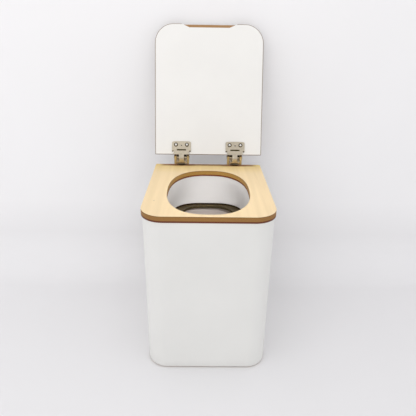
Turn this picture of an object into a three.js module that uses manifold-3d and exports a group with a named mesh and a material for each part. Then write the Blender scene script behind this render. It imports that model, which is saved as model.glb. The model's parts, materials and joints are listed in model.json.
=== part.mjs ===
import * as THREE from 'three';
import * as BufferGeometryUtils from 'three/addons/utils/BufferGeometryUtils.js';
import Module from 'manifold-3d';

// A dry toilet: a bent sheet box on a plywood base, a lift-off plywood seat plate
// with a splash skirt, a lid on two steel hinges and a loose tub under the hole.
// Millimetres, +Z up, the front faces -Y, the floor is z = 0, shown with the lid open.

// Driving sizes.
const SEAT_WIDTH = 360;
const SEAT_DEPTH = 435;
const SEAT_HEIGHT = 500;
const SEAT_THICK = 18;
const SEAT_FRONT_RADIUS = 62;
const SEAT_REAR_RADIUS = 7;
const EDGE_BREAK = 0.8;

const HOLE_SIDE_MARGIN = 60.5;
const HOLE_FRONT_MARGIN = 15;
const HOLE_REAR_MARGIN = 72;
const HOLE_POWER = 2.45;
const HOLE_POINTS = 56;

const OVERHANG = 3.5;
const SHELL_THICK = 6;
const PAD_HEIGHT = 3;
const PAD_RADIUS = 14;
const PAD_INSET = 42;
const BASE_THICK = 12;
const BACK_THICK = 12;
const BATTEN = 20;
const GAP = 0.3;
const SLACK = 1.2;
const CUT_OVERRUN = 2;
const CURVE_STEPS = 12;

const SKIRT_THICK = 2;
const SKIRT_HEIGHT = 100;
const SKIRT_OFFSET = 2.2;
const SKIRT_FLARE_SIDE = 4.5;
const SKIRT_FLARE_REAR = 5;
const SKIRT_DRAW_FRONT = 33;
const SKIRT_LOW_POWER = 3.2;
const SKIRT_RINGS = 5;
const SKIRT_FLANGE = 11;
const RING_THICK = 12;
const RING_WIDTH = 9;
const RING_STEP = 4.5;
const RING_SIDE_LEDGE = 30;
const RING_REAR_LEDGE = 18;
const RING_FRONT_LEDGE = 2;

const CLIP_LENGTH = 24;
const CLIP_DEPTH = 10;
const CLIP_GRIP = 3;
const CLIP_SPREAD_SHARE = 0.2;

const TUB_RIM_DROP = 92;
const TUB_SIDE_ROOM = 11.5;
const TUB_FRONT_ROOM = 1.5;
const TUB_REAR_ROOM = 16.5;
const TUB_TAPER_SIDE = 19;
const TUB_TAPER_END = 21;
const TUB_RADIUS = 72;
const TUB_LOW_RADIUS = 58;
const TUB_WALL = 3;
const TUB_RIM = 9;
const TUB_RIM_END = 3;
const TUB_RIM_HEIGHT = 12;
const TUB_FOOT_RADIUS = 8;

const LID_WIDTH = 360;
const LID_LENGTH = 428;
const LID_THICK = 15;
const LID_FRONT_RADIUS = 62;
const LID_REAR_RADIUS = 1.5;
const LID_LEAN_DEG = 17.3;
const NOTCH_WIDTH = 180;
const NOTCH_FLAT = 132;
const NOTCH_DEPTH = 12;

const HINGE_SPACING = 182;
const PIN_BEHIND = 1.5;
const PIN_ABOVE = 24.5;
const PIN_TO_LID_EDGE = 8.5;
const PIN_TO_LID_FACE = 20.5;
const PIN_RADIUS = 2.5;
const PIN_HEAD_RADIUS = 4.2;
const PIN_HEAD = 1.5;
const BARREL_RADIUS = 5;

const LEAF_WIDTH = 64;
const LEAF_HEIGHT = 35;
const LEAF_CROWN = 6;
const LEAF_THICK = 2.2;
const LEAF_EDGE = 9.7;
const LEAF_GROOVE_UP = 13.5;
const LEAF_GROOVE_WIDTH = 31;
const LEAF_GROOVE_HEIGHT = 4.6;
const LEAF_GROOVE_DEPTH = 1.4;
const LEAF_HOLE_UP = 31;
const LEAF_HOLE_RADIUS = 2.4;
const LEAF_SCREW_APART = 37;
const LEAF_SCREW_UP = 33;
const LEAF_SCREW_SINK = 0.9;
const LEAF_DISH_RADIUS = 6.8;
const LEAF_DISH_DEPTH = 1.3;
const LEAF_TAB_WIDTH = 5;
const LEAF_TAB_LENGTH = 3;
const LEAF_TAB_HEIGHT = 0.8;
const NECK_WIDTH = 52;
const NECK_UP = 0.5;
const COVER_WIDTH = 34;
const COVER_NECK_WIDTH = 17;
const COVER_BAR_DEG = 44;
const COVER_TURN_DEG = 88;
const COVER_LIP = 0.7;
const COVER_LIP_DEG = 8;
const COVER_SLOT_DEG = 64;
const COVER_SLOT_WIDTH = 23;
const COVER_SLOT_HEIGHT = 4.4;
const COVER_WEB_THICK = 2;
const COVER_BOSS_WIDTH = 5;
const COVER_BOSS_HEIGHT = 0.5;

const BRACKET_THICK = 2.5;
const BRACKET_SCREW_APART = 20;
const BRACKET_SCREW_DROP = 12.8;
const CHEEK_THICK = 7.5;
const CHEEK_GAP = 0.7;
const CHEEK_RADIUS = 7.5;
const CHEEK_RISE = 5;
const CHEEK_STOP_LENGTH = 18;
const CHEEK_STOP_THICK = 5;
const WEB_TOP_DROP = 0.5;
const WEB_LOW_DROP = 17;
const HINGE_NOTCH_WIDTH = 32;
const HINGE_NOTCH_LENGTH = 14;
const HINGE_NOTCH_DEPTH = 7;

const SCREW_RADIUS = 1.8;
const SCREW_HEAD_RADIUS = 3.6;
const SCREW_HEAD = 1;
const SCREW_LENGTH = 11;
const SCREW_SIDES = 12;
const SCREW_SLOT = 0.8;
const SCREW_RECESS_SHARE = 0.5;
const BACK_SCREW_ROWS = 3;

// Sizes that follow from the driving ones.
const FRONT = -SEAT_DEPTH / 2;
const REAR = SEAT_DEPTH / 2;
const SEAT_UNDER = SEAT_HEIGHT - SEAT_THICK;
const SHELL_HALF = SEAT_WIDTH / 2 - OVERHANG;
const SHELL_FRONT = FRONT + OVERHANG;
const SHELL_REAR = REAR - OVERHANG;
const SHELL_RADIUS = SEAT_FRONT_RADIUS - OVERHANG;
const SHELL_INNER_HALF = SHELL_HALF - SHELL_THICK;
const SHELL_TOP = SEAT_UNDER - GAP;
const BASE_TOP = PAD_HEIGHT + BASE_THICK;
const BACK_INSIDE = SHELL_REAR - BACK_THICK;
const FRONT_INSIDE = SHELL_FRONT + SHELL_THICK;
const BATTEN_INSIDE = SHELL_INNER_HALF - SLACK - BATTEN;
const HOLE_WIDTH = SEAT_WIDTH - 2 * HOLE_SIDE_MARGIN;
const HOLE_LENGTH = SEAT_DEPTH - HOLE_FRONT_MARGIN - HOLE_REAR_MARGIN;
const HOLE_CENTRE = FRONT + HOLE_FRONT_MARGIN + HOLE_LENGTH / 2;
const SKIRT_LOW_WIDTH = HOLE_WIDTH + 2 * SKIRT_FLARE_SIDE;
const SKIRT_LOW_LENGTH = HOLE_LENGTH - SKIRT_DRAW_FRONT + SKIRT_FLARE_REAR;
const SKIRT_LOW_CENTRE = HOLE_CENTRE + (SKIRT_DRAW_FRONT + SKIRT_FLARE_REAR) / 2;
const SKIRT_TOP = SEAT_UNDER - GAP;
const SKIRT_LOW = SKIRT_TOP - SKIRT_HEIGHT;
const PIN_Y = REAR + PIN_BEHIND;
const PIN_Z = SEAT_HEIGHT + PIN_ABOVE;
const LID_LEAN = THREE.MathUtils.degToRad(LID_LEAN_DEG);
const TUB_FRONT = FRONT_INSIDE + TUB_FRONT_ROOM + TUB_RIM_END;
const TUB_REAR = BACK_INSIDE - TUB_REAR_ROOM - TUB_RIM_END;
const TUB_WIDTH = 2 * (SHELL_INNER_HALF - TUB_SIDE_ROOM - TUB_RIM);
const TUB_LENGTH = TUB_REAR - TUB_FRONT;
const TUB_LOW_WIDTH = TUB_WIDTH - 2 * TUB_TAPER_SIDE;
const TUB_LOW_LENGTH = TUB_LENGTH - 2 * TUB_TAPER_END;
const TUB_CENTRE = (TUB_FRONT + TUB_REAR) / 2;
const COVER_RADIUS = PIN_TO_LID_FACE + GAP + LEAF_THICK;
const BRACKET_WIDTH = COVER_WIDTH + 2 * (CHEEK_GAP + CHEEK_THICK);
const TUB_TOP = SEAT_HEIGHT - TUB_RIM_DROP;
const TUB_LOW = BASE_TOP + GAP;

// Colours and finishes.
const WHITE_SHEET = { color: 0xecebe7, roughness: 0.45, metalness: 0 };
const WHITE_LID = { color: 0xf1f0ea, roughness: 0.4, metalness: 0 };
const BIRCH = { color: 0xe8d2a6, roughness: 0.6, metalness: 0 };
const PLAIN_PLY = { color: 0xd9bf8f, roughness: 0.7, metalness: 0 };
const NICKEL = { color: 0xb9b6ae, roughness: 0.25, metalness: 1 };
const ZINC = { color: 0xa9a8a2, roughness: 0.35, metalness: 1 };
const WHITE_PLASTIC = { color: 0xe6e2da, roughness: 0.35, metalness: 0 };
const SKIRT_WHITE = { color: 0xeceae6, roughness: 0.4, metalness: 0 };
const BLACK_RUBBER = { color: 0x1d1d1f, roughness: 0.85, metalness: 0 };

const wasm = await Module();
wasm.setup();

// Merges the corners of a closed three.js geometry into one watertight solid.
function solidOf(geometry) {
  const bare = geometry.index ? geometry.toNonIndexed() : geometry.clone();
  bare.deleteAttribute('normal');
  bare.deleteAttribute('uv');
  const merged = BufferGeometryUtils.mergeVertices(bare);
  return new wasm.Manifold(new wasm.Mesh({
    numProp: 3,
    vertProperties: Float32Array.from(merged.attributes.position.array),
    triVerts: Uint32Array.from(merged.index.array),
  }));
}

function geometryOf(solid) {
  const mesh = solid.getMesh();
  const geometry = new THREE.BufferGeometry();
  geometry.setAttribute('position', new THREE.BufferAttribute(mesh.vertProperties, 3));
  geometry.setIndex(new THREE.BufferAttribute(mesh.triVerts, 1));
  return geometry;
}

function named(name, solid, look) {
  const geometry = geometryOf(solid).toNonIndexed();
  geometry.computeVertexNormals();
  const mesh = new THREE.Mesh(geometry, new THREE.MeshStandardMaterial(look));
  mesh.name = name;
  return mesh;
}

function block(x0, x1, y0, y1, z0, z1) {
  const geometry = new THREE.BoxGeometry(x1 - x0, y1 - y0, z1 - z0);
  geometry.translate((x0 + x1) / 2, (y0 + y1) / 2, (z0 + z1) / 2);
  return solidOf(geometry);
}

// A cylinder whose axis runs along +Z from its start point.
function post(radius, height, x, y, z, sides) {
  const geometry = new THREE.CylinderGeometry(radius, radius, height, sides);
  geometry.rotateX(Math.PI / 2);
  geometry.translate(x, y, z + height / 2);
  return solidOf(geometry);
}

// A cylinder along +X centred on x.
function crossRod(radius, length, x, y, z, sides) {
  const geometry = new THREE.CylinderGeometry(radius, radius, length, sides);
  geometry.rotateZ(Math.PI / 2);
  geometry.translate(x, y, z);
  return solidOf(geometry);
}

// A flat shape drawn in XY and raised between two heights.
function raised(shape, z0, z1) {
  const geometry = new THREE.ExtrudeGeometry(shape, {
    depth: z1 - z0,
    bevelEnabled: false,
    curveSegments: CURVE_STEPS,
  });
  geometry.translate(0, 0, z0);
  return solidOf(geometry);
}

// A shape drawn as (y, z) pairs and thickened along X between two planes.
function sideCut(points, x0, x1) {
  const shape = new THREE.Shape(points.map(([y, z]) => new THREE.Vector2(y, z)));
  const geometry = new THREE.ExtrudeGeometry(shape, { depth: x1 - x0, bevelEnabled: false });
  const turn = new THREE.Matrix4().set(
    0, 0, 1, x0,
    1, 0, 0, 0,
    0, 1, 0, 0,
    0, 0, 0, 1,
  );
  geometry.applyMatrix4(turn);
  return solidOf(geometry);
}

// A plate outline with its own radius for the front and the rear corners.
function plateShape(half, front, rear, frontRadius, rearRadius) {
  const shape = new THREE.Shape();
  shape.moveTo(-half + frontRadius, front);
  shape.lineTo(half - frontRadius, front);
  shape.absarc(half - frontRadius, front + frontRadius, frontRadius, -Math.PI / 2, 0);
  shape.lineTo(half, rear - rearRadius);
  shape.absarc(half - rearRadius, rear - rearRadius, rearRadius, 0, Math.PI / 2);
  shape.lineTo(-half + rearRadius, rear);
  shape.absarc(-half + rearRadius, rear - rearRadius, rearRadius, Math.PI / 2, Math.PI);
  shape.lineTo(-half, front + frontRadius);
  shape.absarc(-half + frontRadius, front + frontRadius, frontRadius, Math.PI, Math.PI * 1.5);
  return shape;
}

// The same outline as a ring of points at one height, equally many for every size.
function plateRing(half, front, rear, frontRadius, rearRadius, z) {
  const corners = [
    [half - frontRadius, front + frontRadius, frontRadius],
    [half - rearRadius, rear - rearRadius, rearRadius],
    [-half + rearRadius, rear - rearRadius, rearRadius],
    [-half + frontRadius, front + frontRadius, frontRadius],
  ];
  const steps = CURVE_STEPS * 2;
  return corners.flatMap(([x, y, radius], corner) => Array.from({ length: steps + 1 }, (_, i) => {
    const turn = (Math.PI / 2) * (corner - 1 + i / steps);
    return new THREE.Vector3(x + radius * Math.cos(turn), y + radius * Math.sin(turn), z);
  }));
}

// The rounded opening: an oval with squared shoulders.
function ovalPoints(width, length, centre, power = HOLE_POWER) {
  const points = [];
  for (let i = 0; i < HOLE_POINTS; i += 1) {
    const turn = (2 * Math.PI * i) / HOLE_POINTS;
    const across = Math.cos(turn);
    const along = Math.sin(turn);
    const x = (Math.sign(across) * Math.abs(across) ** (2 / power) * width) / 2;
    const y = (Math.sign(along) * Math.abs(along) ** (2 / power) * length) / 2;
    points.push(new THREE.Vector2(x, centre + y));
  }
  return points;
}

// A closed skin over stacked rings of equal point count, capped at both ends.
function lofted(rings) {
  const count = rings[0].length;
  const positions = [];
  const push = (p) => positions.push(p.x, p.y, p.z);
  for (let r = 0; r + 1 < rings.length; r += 1) {
    for (let i = 0; i < count; i += 1) {
      const j = (i + 1) % count;
      [rings[r][i], rings[r][j], rings[r + 1][j]].forEach(push);
      [rings[r][i], rings[r + 1][j], rings[r + 1][i]].forEach(push);
    }
  }
  const caps = [[rings[0], true], [rings[rings.length - 1], false]];
  for (const [ring, down] of caps) {
    const faces = THREE.ShapeUtils.triangulateShape(ring.map((p) => new THREE.Vector2(p.x, p.y)), []);
    for (const [a, b, c] of faces) {
      const corners = down ? [ring[a], ring[c], ring[b]] : [ring[a], ring[b], ring[c]];
      corners.forEach(push);
    }
  }
  const geometry = new THREE.BufferGeometry();
  geometry.setAttribute('position', new THREE.Float32BufferAttribute(positions, 3));
  return solidOf(geometry);
}

function joined(solids) {
  return solids.slice(1).reduce((whole, next) => whole.add(next), solids[0]);
}

// A round-headed wood screw lying along an axis, its head standing outside the start point.
function screw(start, direction) {
  const shank = new THREE.CylinderGeometry(SCREW_RADIUS, SCREW_RADIUS, SCREW_LENGTH, SCREW_SIDES);
  shank.translate(0, SCREW_LENGTH / 2 - SCREW_HEAD / 2, 0);
  const dome = new THREE.CylinderGeometry(
    SCREW_HEAD_RADIUS,
    SCREW_HEAD_RADIUS * SCREW_RECESS_SHARE,
    SCREW_HEAD,
    SCREW_SIDES,
  );
  dome.translate(0, -SCREW_HEAD / 2, 0);
  const slotLong = SCREW_HEAD_RADIUS;
  const bars = [[slotLong, SCREW_SLOT], [SCREW_SLOT, slotLong]].map(([wide, deep]) => {
    const bar = new THREE.BoxGeometry(wide, SCREW_HEAD, deep);
    bar.translate(0, -SCREW_HEAD, 0);
    return solidOf(bar);
  });
  let body = solidOf(dome).add(solidOf(shank));
  for (const bar of bars) {
    body = body.subtract(bar);
  }
  const geometry = geometryOf(body);
  const turn = new THREE.Quaternion();
  turn.setFromUnitVectors(new THREE.Vector3(0, 1, 0), direction.clone().normalize());
  geometry.applyQuaternion(turn);
  geometry.translate(start.x, start.y, start.z);
  return solidOf(geometry);
}

// A clearance hole for the same screw, with room for its head.
function screwHole(start, direction) {
  const reach = SCREW_LENGTH + GAP;
  const shank = new THREE.CylinderGeometry(
    SCREW_RADIUS + GAP,
    SCREW_RADIUS + GAP,
    reach + CUT_OVERRUN,
    SCREW_SIDES,
  );
  shank.translate(0, reach / 2 - CUT_OVERRUN / 2, 0);
  const head = new THREE.CylinderGeometry(
    SCREW_HEAD_RADIUS + GAP,
    SCREW_HEAD_RADIUS + GAP,
    SCREW_HEAD + CUT_OVERRUN,
    SCREW_SIDES,
  );
  head.translate(0, GAP - (SCREW_HEAD + CUT_OVERRUN) / 2, 0);
  const turn = new THREE.Quaternion();
  turn.setFromUnitVectors(new THREE.Vector3(0, 1, 0), direction.clone().normalize());
  const cutters = [shank, head].map((geometry) => {
    geometry.applyQuaternion(turn);
    geometry.translate(start.x, start.y, start.z);
    return solidOf(geometry);
  });
  return joined(cutters);
}

function withHoles(solid, screws) {
  return screws.reduce((left, [start, direction]) => left.subtract(screwHole(start, direction)), solid);
}

// The front and both sides are one bent sheet, square and open at the back.
function shellSolid() {
  const outer = plateShape(SHELL_HALF, SHELL_FRONT, SHELL_REAR, SHELL_RADIUS, GAP);
  const inner = plateShape(
    SHELL_INNER_HALF,
    FRONT_INSIDE,
    SHELL_REAR + CUT_OVERRUN,
    SHELL_RADIUS - SHELL_THICK,
    GAP,
  );
  const wall = raised(outer, PAD_HEIGHT, SHELL_TOP);
  return wall.subtract(raised(inner, PAD_HEIGHT - CUT_OVERRUN, SHELL_TOP + CUT_OVERRUN));
}

function baseSolid() {
  const shape = plateShape(
    SHELL_INNER_HALF - GAP,
    FRONT_INSIDE + GAP,
    BACK_INSIDE - GAP,
    SHELL_RADIUS - SHELL_THICK,
    GAP,
  );
  return raised(shape, PAD_HEIGHT, BASE_TOP);
}

function backSolid() {
  return block(
    -SHELL_INNER_HALF + GAP,
    SHELL_INNER_HALF - GAP,
    BACK_INSIDE,
    SHELL_REAR,
    PAD_HEIGHT,
    SHELL_TOP,
  );
}

function cornerBatten(side) {
  const outer = SHELL_INNER_HALF - GAP;
  const inner = outer - BATTEN;
  const back = BACK_INSIDE - GAP;
  const [x0, x1] = side > 0 ? [inner, outer] : [-outer, -inner];
  return block(x0, x1, back - BATTEN, back, BASE_TOP + GAP, SHELL_TOP);
}

function padSolid(side, end) {
  const x = side * (SHELL_INNER_HALF - PAD_INSET);
  const y = end > 0 ? SHELL_REAR - PAD_INSET : SHELL_FRONT + PAD_INSET;
  return post(PAD_RADIUS, PAD_HEIGHT - GAP, x, y, 0, CURVE_STEPS * 2);
}

// Screws through the back panel into the two corner battens.
function backScrews() {
  const list = [];
  const x = SHELL_INNER_HALF - GAP - BATTEN / 2;
  const run = SHELL_TOP - BASE_TOP - 2 * BATTEN;
  for (const side of [-1, 1]) {
    for (let row = 0; row < BACK_SCREW_ROWS; row += 1) {
      const z = BASE_TOP + BATTEN + (run * row) / (BACK_SCREW_ROWS - 1);
      list.push([new THREE.Vector3(side * x, SHELL_REAR + 2 * GAP, z), new THREE.Vector3(0, -1, 0)]);
    }
  }
  return list;
}

function holeCut() {
  const hole = new THREE.Shape(ovalPoints(HOLE_WIDTH, HOLE_LENGTH, HOLE_CENTRE));
  return raised(hole, SEAT_UNDER - CUT_OVERRUN, SEAT_HEIGHT + CUT_OVERRUN);
}

// The shallow half-round rebate in the rear edge that clears the swinging hinge cover.
function hingeNotch(x) {
  const shape = new THREE.Shape();
  const half = HINGE_NOTCH_WIDTH / 2;
  shape.moveTo(x - half, REAR + CUT_OVERRUN);
  shape.lineTo(x - half, REAR);
  shape.absellipse(x, REAR, half, HINGE_NOTCH_LENGTH, Math.PI, 2 * Math.PI);
  shape.lineTo(x + half, REAR + CUT_OVERRUN);
  return raised(shape, SEAT_HEIGHT - HINGE_NOTCH_DEPTH, SEAT_HEIGHT + CUT_OVERRUN);
}

// A plate with a small chamfer around its top edge and, if asked, its bottom edge.
function edgedPlate(half, front, rear, frontRadius, rearRadius, levels) {
  return lofted(levels.map(([z, inset]) => plateRing(
    half - inset,
    front + inset,
    rear - inset,
    frontRadius - inset,
    rearRadius - inset,
    z,
  )));
}

function seatSolid(screws) {
  const levels = [[SEAT_UNDER, 0], [SEAT_HEIGHT - EDGE_BREAK, 0], [SEAT_HEIGHT, EDGE_BREAK]];
  const blank = edgedPlate(
    SEAT_WIDTH / 2,
    FRONT,
    REAR,
    SEAT_FRONT_RADIUS,
    SEAT_REAR_RADIUS,
    levels,
  );
  let plate = blank.subtract(holeCut());
  for (const x of [-HINGE_SPACING / 2, HINGE_SPACING / 2]) {
    plate = plate.subtract(hingeNotch(x));
  }
  return withHoles(plate, screws);
}

// Long battens under the plate that drop inside the shell and keep the seat in place.
function seatBatten(side) {
  const outer = SHELL_INNER_HALF - SLACK;
  const [x0, x1] = side > 0 ? [BATTEN_INSIDE, outer] : [-outer, -BATTEN_INSIDE];
  const front = SHELL_FRONT + SHELL_RADIUS;
  const rear = BACK_INSIDE - BATTEN - 2 * SLACK;
  return block(x0, x1, front, rear, SEAT_UNDER - GAP - BATTEN, SEAT_UNDER - GAP);
}

// The splash skirt: a bent oval sleeve whose front slopes in over the tub.
function skirtRings(grow, z0, z1) {
  const rings = [];
  for (let r = 0; r < SKIRT_RINGS; r += 1) {
    const share = r / (SKIRT_RINGS - 1);
    const blend = THREE.MathUtils.smoothstep(share, 0, 1);
    const width = THREE.MathUtils.lerp(SKIRT_LOW_WIDTH, HOLE_WIDTH + 2 * SKIRT_OFFSET, blend);
    const length = THREE.MathUtils.lerp(SKIRT_LOW_LENGTH, HOLE_LENGTH + 2 * SKIRT_OFFSET, blend);
    const centre = THREE.MathUtils.lerp(SKIRT_LOW_CENTRE, HOLE_CENTRE, blend);
    const power = THREE.MathUtils.lerp(SKIRT_LOW_POWER, HOLE_POWER, blend);
    const z = THREE.MathUtils.lerp(z0, z1, share);
    const flat = ovalPoints(width + 2 * grow, length + 2 * grow, centre, power);
    rings.push(flat.map((p) => new THREE.Vector3(p.x, p.y, z)));
  }
  return rings;
}

// The space inside the box walls, which the skirt is trimmed to.
function boxRoom(z0, z1) {
  const shape = plateShape(
    SHELL_INNER_HALF - SLACK,
    FRONT_INSIDE + SLACK,
    BACK_INSIDE - SLACK,
    SHELL_RADIUS - SHELL_THICK - SLACK,
    GAP,
  );
  return raised(shape, z0, z1);
}

function skirtSolid() {
  const sleeve = lofted(skirtRings(SKIRT_THICK, SKIRT_LOW, SKIRT_TOP));
  const flangeFlat = ovalPoints(
    HOLE_WIDTH + 2 * SKIRT_FLANGE,
    HOLE_LENGTH + 2 * SKIRT_FLANGE,
    HOLE_CENTRE,
  );
  const flange = raised(new THREE.Shape(flangeFlat), SKIRT_TOP - SKIRT_THICK, SKIRT_TOP);
  const room = boxRoom(SKIRT_LOW - CUT_OVERRUN, SKIRT_TOP + CUT_OVERRUN);
  const bore = lofted(skirtRings(0, SKIRT_LOW - CUT_OVERRUN, SKIRT_TOP + CUT_OVERRUN));
  return sleeve.add(flange).intersect(room).subtract(bore);
}

// A plywood ring under the sleeve: a rebate keeps the thin sheet in shape and the
// smaller oval opening below it leads what falls to the middle of the tub.
function ringSolid() {
  const wide = (grow) => new THREE.Shape(ovalPoints(
    SKIRT_LOW_WIDTH + 2 * grow,
    SKIRT_LOW_LENGTH + 2 * grow,
    SKIRT_LOW_CENTRE,
    SKIRT_LOW_POWER,
  ));
  const opening = new THREE.Shape(ovalPoints(
    SKIRT_LOW_WIDTH - 2 * RING_SIDE_LEDGE,
    SKIRT_LOW_LENGTH - RING_FRONT_LEDGE - RING_REAR_LEDGE,
    SKIRT_LOW_CENTRE + (RING_FRONT_LEDGE - RING_REAR_LEDGE) / 2,
  ));
  const top = SKIRT_LOW - GAP;
  const low = top - RING_THICK;
  const disc = raised(wide(RING_WIDTH), low, top);
  const rebate = raised(wide(0), top - RING_STEP, top + CUT_OVERRUN);
  return disc.subtract(rebate).subtract(raised(opening, low - CUT_OVERRUN, top + CUT_OVERRUN));
}

// Wooden clips that hold the skirt flange up against the underside of the plate.
function clipSpots() {
  const along = HOLE_LENGTH * CLIP_SPREAD_SHARE;
  return [[-1, -1], [-1, 1], [1, -1], [1, 1]].map(([side, end]) => [side, HOLE_CENTRE + end * along]);
}

function clipSolid(side, y) {
  const under = SKIRT_TOP - SKIRT_THICK - GAP;
  const low = under - CLIP_DEPTH;
  const inner = HOLE_WIDTH / 2 + SKIRT_FLANGE - CLIP_GRIP;
  const step = HOLE_WIDTH / 2 + SKIRT_FLANGE + GAP;
  const outer = BATTEN_INSIDE - SLACK;
  const part = (x0, x1, top) => {
    const [from, to] = side > 0 ? [x0, x1] : [-x1, -x0];
    return block(from, to, y - CLIP_LENGTH / 2, y + CLIP_LENGTH / 2, low, top);
  };
  return part(inner, outer, under).add(part(step, outer, SKIRT_TOP));
}

function tubRings(grow, z0, z1) {
  const ends = [
    [TUB_LOW_WIDTH, TUB_LOW_LENGTH, TUB_LOW_RADIUS, z0],
    [TUB_WIDTH, TUB_LENGTH, TUB_RADIUS, z1],
  ];
  return ends.map(([width, length, radius, z]) => plateRing(
    width / 2 + grow,
    TUB_CENTRE - length / 2 - grow,
    TUB_CENTRE + length / 2 + grow,
    radius + grow,
    radius + grow,
    z,
  ));
}

// The foot ring is drawn in a little, so the floor edge of the tub is rounded over.
function tubSolid() {
  const [lowRing, highRing] = tubRings(0, TUB_LOW, TUB_TOP);
  const share = TUB_FOOT_RADIUS / (TUB_TOP - TUB_LOW);
  const drawn = 1 - TUB_FOOT_RADIUS / TUB_LOW_LENGTH;
  const foot = lowRing.map((p) => new THREE.Vector3(
    p.x * drawn,
    TUB_CENTRE + (p.y - TUB_CENTRE) * drawn,
    TUB_LOW,
  ));
  const above = lowRing.map((p, i) => p.clone().lerp(highRing[i], share));
  const outer = lofted([foot, above, highRing]);
  const [innerLow, innerHigh] = tubRings(-TUB_WALL, TUB_LOW + TUB_WALL, TUB_TOP);
  const over = innerHigh.map((p) => new THREE.Vector3(p.x, p.y, TUB_TOP + CUT_OVERRUN));
  const inner = lofted([innerLow, innerHigh, over]);
  const rimShape = plateShape(
    TUB_WIDTH / 2 + TUB_RIM,
    TUB_FRONT - TUB_RIM_END,
    TUB_REAR + TUB_RIM_END,
    TUB_RADIUS,
    TUB_RADIUS,
  );
  const rimInner = plateShape(
    TUB_WIDTH / 2 + TUB_RIM - TUB_WALL,
    TUB_FRONT,
    TUB_REAR,
    TUB_RADIUS - TUB_WALL,
    TUB_RADIUS - TUB_WALL,
  );
  let rim = raised(rimShape, TUB_TOP - TUB_RIM_HEIGHT, TUB_TOP);
  rim = rim.subtract(raised(rimInner, TUB_TOP - TUB_RIM_HEIGHT - CUT_OVERRUN, TUB_TOP - TUB_WALL));
  return rim.add(outer).subtract(inner);
}

// Lid pieces are drawn with the pin axis at the origin: +Y along the lid away from
// the hinge, +Z out of the inner face. This turns and moves them to the open pose.
function openPose(solid) {
  const geometry = geometryOf(solid);
  const up = new THREE.Vector3(0, Math.sin(LID_LEAN), Math.cos(LID_LEAN));
  const out = new THREE.Vector3(0, -Math.cos(LID_LEAN), Math.sin(LID_LEAN));
  const across = new THREE.Vector3().crossVectors(up, out);
  const turn = new THREE.Matrix4().makeBasis(across, up, out);
  turn.setPosition(0, PIN_Y, PIN_Z);
  geometry.applyMatrix4(turn);
  return solidOf(geometry);
}

function leafScrews(x) {
  const list = [];
  for (const side of [-1, 1]) {
    const start = new THREE.Vector3(
      x + (side * LEAF_SCREW_APART) / 2,
      PIN_TO_LID_EDGE + LEAF_SCREW_UP,
      COVER_RADIUS + GAP - LEAF_SCREW_SINK,
    );
    list.push([start, new THREE.Vector3(0, 0, -1)]);
  }
  return list;
}

function leafFlange(x) {
  const half = LEAF_WIDTH / 2;
  const low = PIN_TO_LID_EDGE + LEAF_EDGE;
  const shoulder = low + LEAF_HEIGHT - LEAF_CROWN;
  const crown = shoulder + LEAF_CROWN;
  const neck = NECK_WIDTH / 2;
  const neckLow = PIN_TO_LID_EDGE + NECK_UP;
  const shape = new THREE.Shape();
  shape.moveTo(x - neck, neckLow);
  shape.lineTo(x + neck, neckLow);
  shape.lineTo(x + neck, low);
  shape.lineTo(x + half, low);
  shape.lineTo(x + half, shoulder);
  shape.bezierCurveTo(x + half, crown, x + neck, crown, x, crown);
  shape.bezierCurveTo(x - neck, crown, x - half, crown, x - half, shoulder);
  shape.lineTo(x - half, low);
  shape.lineTo(x - neck, low);
  return raised(shape, PIN_TO_LID_FACE + GAP, COVER_RADIUS);
}

// A band of the cover, drawn around the pin from one turn to another. A turn of zero
// points out of the lid's face and a quarter turn points away from the lid.
function coverBand(x, width, inner, outer, fromDeg, toDeg) {
  const at = (radius, degrees) => {
    const turn = THREE.MathUtils.degToRad(degrees);
    return [-radius * Math.sin(turn), radius * Math.cos(turn)];
  };
  const turns = Array.from(
    { length: CURVE_STEPS + 1 },
    (_, i) => THREE.MathUtils.lerp(fromDeg, toDeg, i / CURVE_STEPS),
  );
  const outside = turns.map((degrees) => at(outer, degrees));
  const inside = turns.map((degrees) => at(inner, degrees)).reverse();
  return sideCut([...inside, ...outside], x - width / 2, x + width / 2);
}

// The slot through the cover's bar, at its own turn around the pin.
function coverSlot(x) {
  const half = THREE.MathUtils.radToDeg(COVER_SLOT_HEIGHT / 2 / COVER_RADIUS);
  return coverBand(
    x,
    COVER_SLOT_WIDTH,
    COVER_RADIUS - LEAF_THICK - CUT_OVERRUN,
    COVER_RADIUS + CUT_OVERRUN,
    COVER_SLOT_DEG - half,
    COVER_SLOT_DEG + half,
  );
}

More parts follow.
